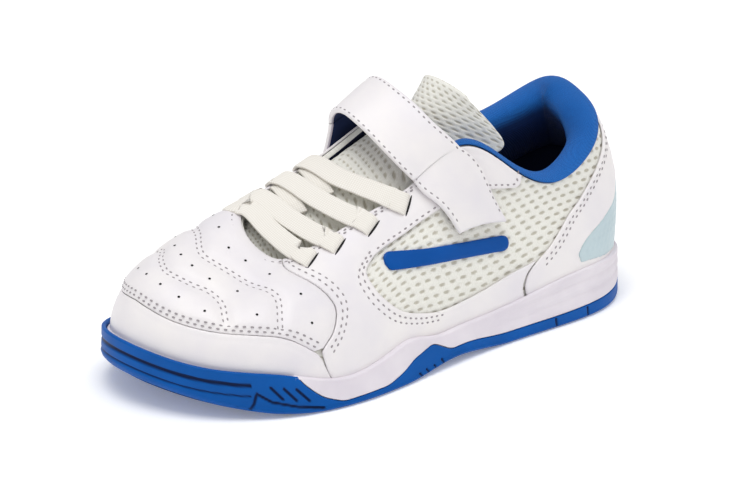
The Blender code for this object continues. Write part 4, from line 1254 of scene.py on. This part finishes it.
def tongue_rows():
    rows = []
    for u, depth, reach in [(0.420, 2.9, 0.5), (0.395, 2.9, 0.8), (0.365, 2.9, 1.0),
                            (0.335, 3.0, 0.9), (0.305, 3.6, 0.6), (0.280, 5.2, 0.4)]:
        q = np.where(SPREAD < 1.0, 1.0 + (SPREAD - 1.0) * reach,
                     np.where(SPREAD > 2.0, 2.0 + (SPREAD - 2.0) * reach, SPREAD))
        rows.append(over(u, q, -depth * MM, max(TONGUE_CROWN, float(crown_at(u)[0]))))
    root = np.array([0.065 * SOLE_LENGTH, 0.0, -0.10 * INSTEP_HEIGHT])
    rows.insert(0, rows[0] + root * 0.5)
    rows.insert(0, rows[1] + root)
    for cx, cz, half_width, ex, ez in FREE:
        a = (np.arange(13) / 6.0 - 1.0) * math.pi / 2
        bend = 1.0 - np.cos(a)
        row = np.stack([MIL * SOLE_LENGTH * (cx - (cx - ex) * bend),
                        -MIL * BALL_WIDTH * half_width * np.sin(a),
                        MIL * INSTEP_HEIGHT * (cz - (cz - ez) * bend)], -1)
        if cx == FREE[0][0]:
            rows.append((rows[-1] + row) / 2)
        rows.append(row)
    return np.array(rows)


def section_share(t):
    """Share across a pad's face for a share once round its section, closer near the edges."""
    x = 1.0 - np.abs(2.0 * t - 1.0)
    return x - 0.55 * np.sin(2 * math.pi * x) / (2 * math.pi)


def slab(face, thick, round_in, dent=None):
    """A closed pad under a smooth face: s along it, t once round its section."""
    def place(s, t):
        su, si, tu, ti = product(s, t)
        c = section_share(tu)
        top = face(su, c)
        ds = face(np.clip(su + 2e-3, 0, 1), c) - face(np.clip(su - 2e-3, 0, 1), c)
        dc = face(su, np.clip(c + 2e-3, 0, 1)) - face(su, np.clip(c - 2e-3, 0, 1))
        normal = unit(np.cross(ds, dc))
        if normal[len(su) // 2, len(c) // 4, 2] < 0:
            normal = -normal
        span = np.linalg.norm(np.diff(top, axis=1), axis=2).sum(1)[:, None] / 2
        edge = np.minimum(c, 1.0 - c)[None, :] * span
        rows = np.concatenate([[0.0], np.cumsum(np.linalg.norm(np.diff(top.mean(1), axis=0), axis=1))])
        ends = np.minimum(rows, rows[-1] - rows)[:, None]
        near = np.minimum(edge, ends + 0 * edge)
        depth = thick(su)[:, None] if callable(thick) else thick
        swell = np.sqrt(np.maximum(1.0 - (1.0 - np.clip(near / round_in, 0.0, 1.0)) ** 2, 0.0))
        upper = tu <= 0.5
        lift = np.where(upper[None, :], 0.5, -0.5) * swell * depth - 0.5 * depth
        out = top + normal * lift[:, :, None]
        if dent is not None:
            out = out - normal * (dent(su, c) * upper[None, :] * soft_step(near, round_in, 2 * round_in)
                                  )[:, :, None]
        return out[si, ti]
    return place


_tongue = tongue_rows()


def tongue_face(s, c):
    return np.einsum("sr,rkc,tk->stc", curve_weights(s, len(_tongue)), _tongue, curve_weights(c, 13))


def tongue_opening(s, c):
    return mesh_opening((c - 0.5) * TONGUE_ACROSS, s * TONGUE_ALONG)


def tongue_dent(s, c):
    return TONGUE_DIP * tongue_opening(s[:, None] + 0 * c, c + 0 * s[:, None])


def tongue_dip(s, t):
    return tongue_opening(s, section_share(t)) * (t <= 0.5)


def tongue_cloth(s, t):
    return np.stack([(1.0 - np.abs(2.0 * t - 1.0)) * TONGUE_ACROSS, s * TONGUE_ALONG], -1)


def tongue_depth(s):
    return TONGUE * np.interp(s, [0.0, 0.1, 0.2, 0.3, 1.0], [0.35, 0.35, 0.5, 0.8, 1.0])


# Laces and strap

# Bands from the toe back: their stations at the outer slot, the outer edge of the throat, its
# middle, its inner edge and the inner slot
BANDS = [
    (0.388, 0.421, 0.449, 0.456, 0.408),
    (0.360, 0.385, 0.413, 0.427, 0.385),
    (0.328, 0.349, 0.372, 0.383, 0.354),
    (0.294, 0.314, 0.342, 0.350, 0.326),
]
# Where the bands that run beneath show: stations at the outer and at the inner edge
BENEATH = [(0.402, 0.385), (0.368, 0.349)]
SLOT_Q = 0.75
BAND_Q = [SLOT_Q, 1.0, 1.5, 2.0, 3.0 - SLOT_Q]
ABOVE = 1.55 * MM


def track(band, q, h):
    """Middle line of a band with its directions up, along and sideways."""
    u = np.interp(q, BAND_Q if len(band) > 2 else [1.0, 2.0], band)
    u = np.convolve(np.pad(u, 5, mode="reflect", reflect_type="odd"), np.ones(11) / 11, mode="valid")
    mid = over(u, q, h)
    up = unit(over(u, q, h + MM) - mid)
    along = unit(np.gradient(mid, axis=0))
    return mid, up, along, unit(np.cross(up, along))


def lace(work, band, q0, q1, heights, width, rows=90):
    """Flat elastic band from one side to the other, with rounded edges and ends let in."""
    def place(s, t):
        su, si, tu, ti = product(s, t)
        mid, up, _, side = track(band, q0 + (q1 - q0) * su,
                                 np.interp(su * (len(heights) - 1), range(len(heights)), heights))
        turn = 2 * math.pi * tu
        wide = np.sign(np.cos(turn)) * np.abs(np.cos(turn)) ** 0.42 * width / 2
        tall = np.sign(np.sin(turn)) * np.abs(np.sin(turn)) ** 0.55 * LACE_THICKNESS / 2
        out = mid[:, None] + side[:, None] * wide[None, :, None] \
            + up[:, None] * (LACE_THICKNESS / 2 + tall)[None, :, None]
        return out[si, ti]

    def chart(s, t):
        turn = np.cos(2 * math.pi * t)
        return np.stack([np.sign(turn) * np.abs(turn) ** 0.42 * width / 2 / MM,
                         s * abs(q1 - q0) * 40.0], -1)
    lay_grid(work, rows, 28, place, chart, caps=True)


STRAP = [
    # q, rear station, front station, lift in tenths of a millimetre
    (0.27, 0.216, 0.251, 0),
    (0.50, 0.228, 0.265, 0),
    (0.75, 0.239, 0.281, 1),
    (1.00, 0.255, 0.292, 6),
    (1.20, 0.264, 0.301, 24),
    (1.40, 0.268, 0.308, 46),
    (1.60, 0.271, 0.311, 67),
    (1.80, 0.270, 0.309, 74),
    (2.00, 0.266, 0.306, 50),
    (2.25, 0.262, 0.302, 20),
    (2.50, 0.258, 0.297, 3),
    (2.75, 0.254, 0.292, 0),
]
STRAP_KEYS = np.array(STRAP, float)


def strap_face(s, c):
    weights = curve_weights(s, len(STRAP))
    q, back, fore, raised = (weights @ STRAP_KEYS).T
    u = back[:, None] + (fore - back)[:, None] * c[None, :]
    lift = HIGH + 1.2 * GAP + STRAP_THICKNESS + raised * 0.1 * MM
    slant = STRAP_SLANT * np.maximum(0.0, 1.0 - q)[:, None] * (1.0 - 2.0 * c)[None, :]
    return over(u, q[:, None] + slant, lift[:, None] + 0 * u, STRAP_CROWN)


def strap_cloth(s, t):
    x = 1.0 - np.abs(2.0 * t - 1.0)
    return np.stack([x * 32.0, s * 160.0], -1)


# Stitches, holes and slots

def offset_curve(curve, shift, count=400):
    """A chart curve moved sideways by a real distance, with its points on the upper."""
    pts = through(curve, count)
    scale = np.stack([np.full(count, ROUND[-1]), np.interp(pts[:, 0] % 1.0, _stations, RISE)], -1)
    flat = pts * scale
    way = unit(np.gradient(flat, axis=0))
    side = np.stack([-way[:, 1], way[:, 0]], -1)
    return (flat + side * shift) / scale


def evenly(path, pitch, start=0.5):
    """Places along a path at a pitch, with the path's direction there."""
    step = np.linalg.norm(np.diff(path, axis=0), axis=1)
    far = np.concatenate([[0.0], np.cumsum(step)])
    count = max(int(far[-1] / pitch), 1)
    at = (np.arange(count) + start) * far[-1] / count
    spots, ahead, behind = [np.stack([np.interp(at + off, far, axis) for axis in path.T], -1)
                            for off in (0.0, 0.2 * MM, -0.2 * MM)]
    return spots, unit(ahead - behind), at / far[-1]


def sew(work, spots, ways, ups, length, width, tall):
    """One small rounded stitch at each spot."""
    for spot, way, up in zip(spots, ways, ups):
        side = unit(np.cross(up, way))
        up = unit(np.cross(way, side))
        turn = Matrix((way * length / 2, side * width / 2, up * tall / 2)).transposed().to_4x4()
        turn.translation = Vector(spot)
        bmesh.ops.create_uvsphere(work, u_segments=6, v_segments=4, radius=1.0,
                                  matrix=turn @ Matrix.Rotation(math.pi / 2, 4, "Y"))


def chart_row(work, curve, shift, top=HIGH, extra=None, start=0.5):
    """A row of stitches along a chart curve, on both sides of the shoe."""
    flat = offset_curve(curve, shift)
    for mirrored in (False, True):
        row = np.stack([1.0 - flat[:, 0], flat[:, 1]], -1) if mirrored else flat
        lift = top + (extra(row) if extra else 0.0)
        path = np.concatenate([shell(row[:, 0], row[:, 1], lift), row], 1)
        spots, ways, _ = evenly(path[:, :3], sizes().stitch_pitch, start)
        tree = point_tree(path[:, :3])
        found = [tree.find(spot)[1] for spot in spots]
        ups = facing(row[found, 0], row[found, 1])
        sew(work, spots, ways, ups, 1.35 * MM, 0.72 * MM, 0.26 * MM)


class SHOE_OT_outsole(bpy.types.Operator):
    """Blue rubber tray with its tread"""
    bl_idname = "shoe.outsole"
    bl_label = "Outsole"

    def execute(self, context):
        # Natural rubber from a steel mould: satin, with fine pebble and slots painted darker as painted
        # shade
        mat = moulded("moulded_rubber", tuple(colours().rubber), tuple(colours().rubber_shade), 0.48,
                      0.5, 0.12, 0.15, linear("#021B45"))
        work = bmesh.new()
        lay_grid(work, len(STATIONS) - 1, 38, outsole_wall, ring_cloth, {"dip": outsole_dip})
        lay_grid(work, len(STATIONS) // 2, 84, outsole_bottom, ring_cloth)
        bmesh.ops.remove_doubles(work, verts=work.verts, dist=2e-6)
        edges = [e for e in work.edges if len(e.link_faces) == 1]
        bmesh.ops.holes_fill(work, edges=edges)
        settle(work, "rubber_outsole", [mat], ["outsole"])
        return {"FINISHED"}


class SHOE_OT_midsole(bpy.types.Operator):
    """White foam cup"""
    bl_idname = "shoe.midsole"
    bl_label = "Midsole"

    def execute(self, context):
        # Compression-moulded EVA foam: a satin skin, a little mottled
        mat = moulded("moulded_foam", tuple(colours().foam), linear("#DDD6DF"), 0.52, 0.8, 0.10, 0.35)
        work = bmesh.new()
        lay_grid(work, len(STATIONS) - 1, 60, midsole_wall, ring_cloth, caps=True)
        settle(work, "foam_midsole", [mat], ["midsole"])
        return {"FINISHED"}


class SHOE_OT_insole(bpy.types.Operator):
    """Loose footbed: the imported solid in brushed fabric"""
    bl_idname = "shoe.insole"
    bl_label = "Insole"

    def execute(self, context):
        # Brushed polyester over foam: soft, very matt, with a short nap
        mat, tree = begin("brushed_lining")
        where = add(tree, "ShaderNodeTexCoord").outputs["Object"]
        nap = add(tree, "ShaderNodeTexNoise", {"Vector": where, "Scale": 1 / (0.6 * MM), "Detail": 3.0})
        bump = add(tree, "ShaderNodeBump", {"Height": nap.outputs["Fac"], "Strength": 0.5,
                                            "Distance": 0.2 * MM})
        dark = tuple(colours().lining)
        tone = add(tree, "ShaderNodeValToRGB", {"Fac": nap.outputs["Fac"]},
                   stops=((0.3, tuple(0.55 * c for c in dark)), (0.7, dark))).outputs["Color"]
        close(tree, {"Base Color": tone, "Roughness": 0.9, "Sheen Weight": 0.3,
                     "Sheen Roughness": 0.5, "Normal": bump.outputs["Normal"]})
        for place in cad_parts["insole"].material_slots:
            place.material = mat
        return {"FINISHED"}


class SHOE_OT_upper(bpy.types.Operator):
    """Mesh shell, open at the collar and the throat"""
    bl_idname = "shoe.upper"
    bl_label = "Mesh upper"

    def execute(self, context):
        # Warp-knitted polyester spacer mesh
        mat = knit_mesh("spacer_mesh", tuple(colours().mesh), tuple(colours().mesh_opening_shade))
        inside = plain("dark_backing", linear("#06163C"), 0.9)
        work = bmesh.new()
        lay_grid(work, len(UPPER_STATIONS) - 1, 118, upper_wall, upper_cloth, {"dip": upper_dip},
                 paint=lambda s, t: int(t > 0.925))
        settle(work, "mesh_upper", [mat, inside], ["upper"])
        return {"FINISHED"}


def overlay_material():
    # Polyurethane-coated microfibre, embossed with a fine grain
    found = bpy.data.materials.get("coated_microfibre")
    return found or grained_synthetic("coated_microfibre", tuple(colours().smooth), linear("#E9E5EA"))


class SHOE_OT_toe_cap(bpy.types.Operator):
    """Smooth overlay round the toe"""
    bl_idname = "shoe.toe_cap"
    bl_label = "Toe cap"

    def execute(self, context):
        chart_panel("toe_overlay", cap_outline(), overlay_material(), ["toe_cap"],
                    relief=soft_edges)
        return {"FINISHED"}


class SHOE_OT_vamp(bpy.types.Operator):
    """Quilted overlay between the toe cap and the throat"""
    bl_idname = "shoe.vamp"
    bl_label = "Vamp"

    def execute(self, context):
        chart_panel("quilted_vamp", vamp_outline(), overlay_material(), ["vamp"],
                    relief=quilting)
        return {"FINISHED"}


class SHOE_OT_quarters(bpy.types.Operator):
    """Overlays with the eyestays, one on each side"""
    bl_idname = "shoe.quarters"
    bl_label = "Quarters"

    def execute(self, context):
        loop = quarter_outline()
        for name, path, node in (("outer_quarter", loop, "quarter_lateral"),
                                 ("inner_quarter", flip(loop), "quarter_medial")):
            chart_panel(name, path, overlay_material(), [node], relief=soft_edges)
        return {"FINISHED"}


class SHOE_OT_heel(bpy.types.Operator):
    """Heel counter with the pale panel let into it"""
    bl_idname = "shoe.heel"
    bl_label = "Heel counter"

    def execute(self, context):
        chart_panel("heel_overlay", counter_outline(), overlay_material(),
                    ["heel_counter"], relief=heel_recess)
        # Hot-pressed polyurethane film: pale, flexible and slightly glossy
        mat = grained_synthetic("pressed_film", tuple(colours().pale), linear("#BDD0D7"), 0.4, 0.4)
        chart_panel("pale_panel", pale_outline(0.0016), mat, ["heel_panel"],
                    top=HIGH - 0.15 * MM, bottom=HIGH - 0.66 * MM, relief=dimples)
        return {"FINISHED"}


class SHOE_OT_side_bars(bpy.types.Operator):
    """Plain rounded bar in each side window"""
    bl_idname = "shoe.side_bars"
    bl_label = "Side bars"

    def execute(self, context):
        mat = grained_synthetic("welded_film", tuple(colours().bar), linear("#004A98"), 0.4, 0.38, 0.15, 0.0)
        loop = bar_outline()
        for name, path in (("outer_bar", loop), ("inner_bar", flip(loop))):
            chart_panel(name, path, mat, [], top=0.9 * MM, bottom=-0.3 * MM,
                        edge=0.4 * MM)
        return {"FINISHED"}


class SHOE_OT_collar(bpy.types.Operator):
    """Padded collar"""
    bl_idname = "shoe.collar"
    bl_label = "Collar"

    def execute(self, context):
        # Lozenge-woven polyester over foam padding
        mat = woven_lining("woven_lining", tuple(colours().collar), tuple(colours().collar_gap_shade))
        work = bmesh.new()
        lay_grid(work, 300, 90, collar_place, collar_cloth, {"deep": collar_lining_and_shade}, caps=True)
        settle(work, "padded_collar", [mat], ["collar"])
        return {"FINISHED"}


class SHOE_OT_tongue(bpy.types.Operator):
    """Padded mesh tongue"""
    bl_idname = "shoe.tongue"
    bl_label = "Tongue"

    def execute(self, context):
        mat = knit_mesh("tongue_mesh", tuple(colours().mesh), tuple(colours().mesh_opening_shade))
        lining = plain("tongue_backing", linear("#0A2A63"), 0.85)
        work = bmesh.new()
        lay_grid(work, 210, 260, slab(tongue_face, tongue_depth, 1.5 * MM, tongue_dent), tongue_cloth,
                 {"dip": tongue_dip}, paint=lambda s, t: int(t > 0.52 and t < 0.98), caps=True)
        settle(work, "mesh_tongue", [mat, lining], ["tongue"])
        return {"FINISHED"}


class SHOE_OT_laces(bpy.types.Operator):
    """Straight bar and three crossings of the elastic lace"""
    bl_idname = "shoe.laces"
    bl_label = "Laces"

    def execute(self, context):
        # Knitted elastic tape
        mat = elastic_knit("knitted_elastic", tuple(colours().lace), linear("#E7E2D9"))
        top = [0.0, 0.8 * ABOVE, *[ABOVE] * 34, 0.8 * ABOVE, 0.0]
        low = [-0.9 * MM, -0.4 * MM, -0.1 * MM, *[0.0] * 6, -0.1 * MM, -0.4 * MM, -0.9 * MM]
        for k, band in enumerate(BANDS):
            work = bmesh.new()
            lace(work, band, SLOT_Q, 3.0 - SLOT_Q, top, LACE_WIDTH)
            if 0 < k <= len(BENEATH):
                lace(work, BENEATH[k - 1], 1.46, 1.97, low, 0.85 * LACE_WIDTH)
            settle(work, "tape_cross_%d" % k if k else "tape_bar", [mat],
                   ["lace_cross_%d" % k if k else "lace_bar"])
        return {"FINISHED"}


class SHOE_OT_strap(bpy.types.Operator):
    """Instep strap"""
    bl_idname = "shoe.strap"
    bl_label = "Strap"

    def execute(self, context):
        # Underside and edges of the strap: grey-lilac, partly its underside lining and partly painted shade
        # on its edge
        edge = grained_synthetic("strap_underside_and_shade", linear("#CFC8D2"), linear("#BDB5C2"), 0.4, 0.6)
        work = bmesh.new()
        lay_grid(work, 200, 140, slab(strap_face, STRAP_THICKNESS, 1.0 * MM), strap_cloth,
                 paint=lambda s, t: int(0.515 < t < 0.985) * (1 + int(0.55 < s < 0.83 and 0.55 < t < 0.94)),
                 caps=True)
        # Hook tape: stiff nylon hooks, very matt
        hooks = plain("hook_tape", linear("#0D2350"), 0.95)
        settle(work, "instep_strap", [overlay_material(), edge, hooks], ["strap"])
        return {"FINISHED"}


class SHOE_OT_stitching(bpy.types.Operator):
    """Rows of stitches along the overlays and the strap"""
    bl_idname = "shoe.stitching"
    bl_label = "Stitching"

    def execute(self, context):
        # Bonded polyester thread, pulled into the material and coloured grey as painted shade of the stitch
        # dips, so that its rows read as grey dashes
        mat = plain("thread_in_painted_shade", tuple(colours().seam), 0.6)
        gap = sizes().row_gap
        work = bmesh.new()
        rows = [(FRONT, -1.9 * MM), (FRONT, -1.9 * MM - gap), (WINDOW[3:], -1.6 * MM),
                (WINDOW[3:], -1.6 * MM - gap), (UPPER_EDGE[:5], -1.6 * MM), (COUNTER[4:], 1.8 * MM),
                (COUNTER[4:], 1.8 * MM + gap), (UPPER_EDGE[4:], -1.8 * MM), (THROAT[:4], -gap)]
        for k, (curve, shift) in enumerate(rows):
            chart_row(work, curve, shift, start=0.5 + 0.5 * (k % 2))
        for curve, shift, away in ((SEAM[2:], 1.6 * MM, 1.6 * MM), (THROAT, 0.0, 2.8 * MM),
                                   (SEAM[2:], 1.6 * MM + gap, 1.6 * MM + gap)):
            chart_row(work, curve, shift, extra=lambda row, away=away: swelling(row, away))
        for curve in CHANNELS:
            for shift in (-gap / 2, gap / 2):
                chart_row(work, curve, shift, extra=lambda row: swelling(row, 20 * MM))
        for c, start in ((0.94, 0.5), (0.06, 0.5)):
            s = np.linspace(0.03, 0.97, 300)
            path = strap_face(s, np.array([c]))[:, 0]
            spots, ways, share = evenly(path, sizes().stitch_pitch, start)
            at = 0.03 + 0.94 * share
            dc = strap_face(at, np.array([c + 0.01]))[:, 0] - strap_face(at, np.array([c - 0.01]))[:, 0]
            ups = unit(np.cross(ways, dc))
            ups = np.where((ups[:, 2:3] < 0) & (np.abs(ups[:, 2:3]) > 0.05), -ups, ups)
            sew(work, spots, ways, ups, 1.3 * MM, 0.62 * MM, 0.26 * MM)
        settle(work, "stitches", [mat], [])
        return {"FINISHED"}


class SHOE_OT_holes(bpy.types.Operator):
    """Painted shadows in the air holes of the vamp and in the slots where the laces pass"""
    bl_idname = "shoe.holes"
    bl_label = "Holes"

    def execute(self, context):
        mat = plain("hole_shadow", linear("#1B1A1C"), 0.9)
        work = bmesh.new()
        both = HOLES + [(1.0 - u, v) for u, v in HOLES if u < 0.49]
        u = np.array([q[0] for q in both])
        v = np.array([q[1] for q in both]) - 0.014
        base = surface(u, v)
        lift = HIGH + quilting(u, v, base, np.full(len(u), 20 * MM)) + 0.07 * MM
        spots = base + facing(u, v) * lift[:, None]
        # Painted shadow in each air hole: a dark disc
        for spot, up in zip(spots, facing(u, v)):
            turn = Vector(up).to_track_quat("Z", "Y").to_matrix().to_4x4()
            turn.translation = Vector(spot)
            bmesh.ops.create_circle(work, cap_ends=True, segments=14, radius=0.5 * MM, matrix=turn)
        # Painted shadow in each lace slot: a flat dark dome where the lace goes in
        for band in BANDS:
            for first, second in ((SLOT_Q, SLOT_Q + 0.06), (3.0 - SLOT_Q, 2.94 - SLOT_Q)):
                mid, up, along, side = track(band, np.linspace(first, second, 13), HIGH + 0.08 * MM)
                turn = Matrix((side[0] * (LACE_WIDTH / 2 + 0.2 * MM), along[0] * 0.42 * MM,
                               up[0] * 0.2 * MM)).transposed().to_4x4()
                turn.translation = Vector(mid[0] - along[0] * 0.25 * MM)
                bmesh.ops.create_uvsphere(work, u_segments=20, v_segments=8, radius=1.0, matrix=turn)
        settle(work, "holes", [mat], [])
        return {"FINISHED"}


# Camera: how far it turns about the shoe and looks down, its place, its lens and its shift
CAMERA_TURN = math.radians(143.3)
CAMERA_RISE = math.radians(21.0)
CAMERA_AIM = Vector((-0.2, -3.2, 25.0)) * MM
CAMERA_FAR = 1.300
CAMERA_LENS = 171.5
CAMERA_SHIFT = (0.0061, 0.042)
LAMPS = [
    # name, place, side of its square, power in watts
    ("key", (0.25, 0.2, 1.65), 1.1, 14.5),
    ("left", (1.5, -0.6, 0.9), 1.0, 1.0),
    ("right", (-1.2, 0.9, 1.0), 1.0, 2.2),
]
LAMP_AIM = Vector((0.0, 0.0, 0.03))
ROOM_LIGHT = 0.53
FLOOR_GLOW = 0.17


def square_lamp(scene, name, spot, side, power):
    lamp = bpy.data.lights.new(name, "AREA")
    lamp.size = side
    lamp.energy = power
    rig = bpy.data.objects.new(name, lamp)
    rig.location = spot
    rig.rotation_euler = (LAMP_AIM - Vector(spot)).to_track_quat("-Z", "Y").to_euler()
    scene.collection.objects.link(rig)


class SHOE_OT_stage(bpy.types.Operator):
    """White floor, soft lights and the camera"""
    bl_idname = "shoe.stage"
    bl_label = "Stage"

    def execute(self, context):
        # Matt white paper floor, laid as a flat disc
        mat, tree = begin("white_paper")
        where = add(tree, "ShaderNodeTexCoord").outputs["Object"]
        noise = add(tree, "ShaderNodeTexNoise", {"Vector": where, "Scale": 3.0})
        tone = add(tree, "ShaderNodeValToRGB", {"Fac": noise.outputs["Fac"]},
                   stops=((0.0, linear("#FDFDFD")), (1.0, linear("#FFFFFF")))).outputs["Color"]
        close(tree, {"Base Color": tone, "Roughness": 0.9, "Emission Color": tone,
                     "Emission Strength": FLOOR_GLOW})
        work = bmesh.new()
        bmesh.ops.create_circle(work, cap_ends=True, segments=96, radius=6.0)
        data = bpy.data.meshes.new("floor")
        work.to_mesh(data)
        work.free()
        data.materials.append(mat)
        floor = bpy.data.objects.new("floor", data)
        context.scene.collection.objects.link(floor)
        world = bpy.data.worlds.new("soft_room")
        world.use_nodes = True
        room = world.node_tree.nodes["Background"].inputs
        room["Color"].default_value = (1.0, 1.0, 1.0, 1.0)
        room["Strength"].default_value = ROOM_LIGHT
        context.scene.world = world
        context.scene.view_settings.view_transform = "Standard"
        for lamp in LAMPS:
            square_lamp(context.scene, *lamp)
        lens = bpy.data.cameras.new("camera")
        lens.sensor_width = 36.0
        lens.lens = CAMERA_LENS
        lens.shift_x, lens.shift_y = CAMERA_SHIFT
        lens.clip_end = 50.0
        level = math.cos(CAMERA_RISE)
        back = Vector((math.sin(CAMERA_TURN) * level, -math.cos(CAMERA_TURN) * level,
                       math.sin(CAMERA_RISE)))
        camera = bpy.data.objects.new("camera", lens)
        camera.location = CAMERA_AIM + back * CAMERA_FAR
        camera.rotation_euler = (-back).to_track_quat("-Z", "Y").to_euler()
        context.scene.collection.objects.link(camera)
        context.scene.camera = camera
        return {"FINISHED"}


PIECES = (SHOE_OT_stage, SHOE_OT_outsole, SHOE_OT_midsole, SHOE_OT_insole, SHOE_OT_upper,
          SHOE_OT_toe_cap, SHOE_OT_vamp, SHOE_OT_quarters, SHOE_OT_heel, SHOE_OT_side_bars,
          SHOE_OT_collar, SHOE_OT_tongue, SHOE_OT_laces, SHOE_OT_strap, SHOE_OT_stitching,
          SHOE_OT_holes)


class SHOE_PT_panel(bpy.types.Panel):
    bl_idname = "SHOE_PT_panel"
    bl_label = "Court Shoe"
    bl_space_type = "VIEW_3D"
    bl_region_type = "UI"
    bl_category = "Court Shoe"

    def draw(self, context):
        for group in (context.scene.shoe_colours, context.scene.shoe_sizes):
            for name in group.bl_rna.properties.keys():
                if name not in {"rna_type", "name"}:
                    self.layout.prop(group, name)
        for piece in PIECES:
            self.layout.operator(piece.bl_idname)


CLASSES = (ShoeColours, ShoeSizes, *PIECES, SHOE_PT_panel)


def register():
    for cls in CLASSES:
        bpy.utils.register_class(cls)
    bpy.types.Scene.shoe_colours = PointerProperty(type=ShoeColours)
    bpy.types.Scene.shoe_sizes = PointerProperty(type=ShoeSizes)


def unregister():
    del bpy.types.Scene.shoe_sizes
    del bpy.types.Scene.shoe_colours
    for cls in reversed(CLASSES):
        bpy.utils.unregister_class(cls)


def main():
    register()
    for piece in PIECES:
        group, name = piece.bl_idname.split(".")
        getattr(getattr(bpy.ops, group), name)()


if __name__ == "__main__":
    main()
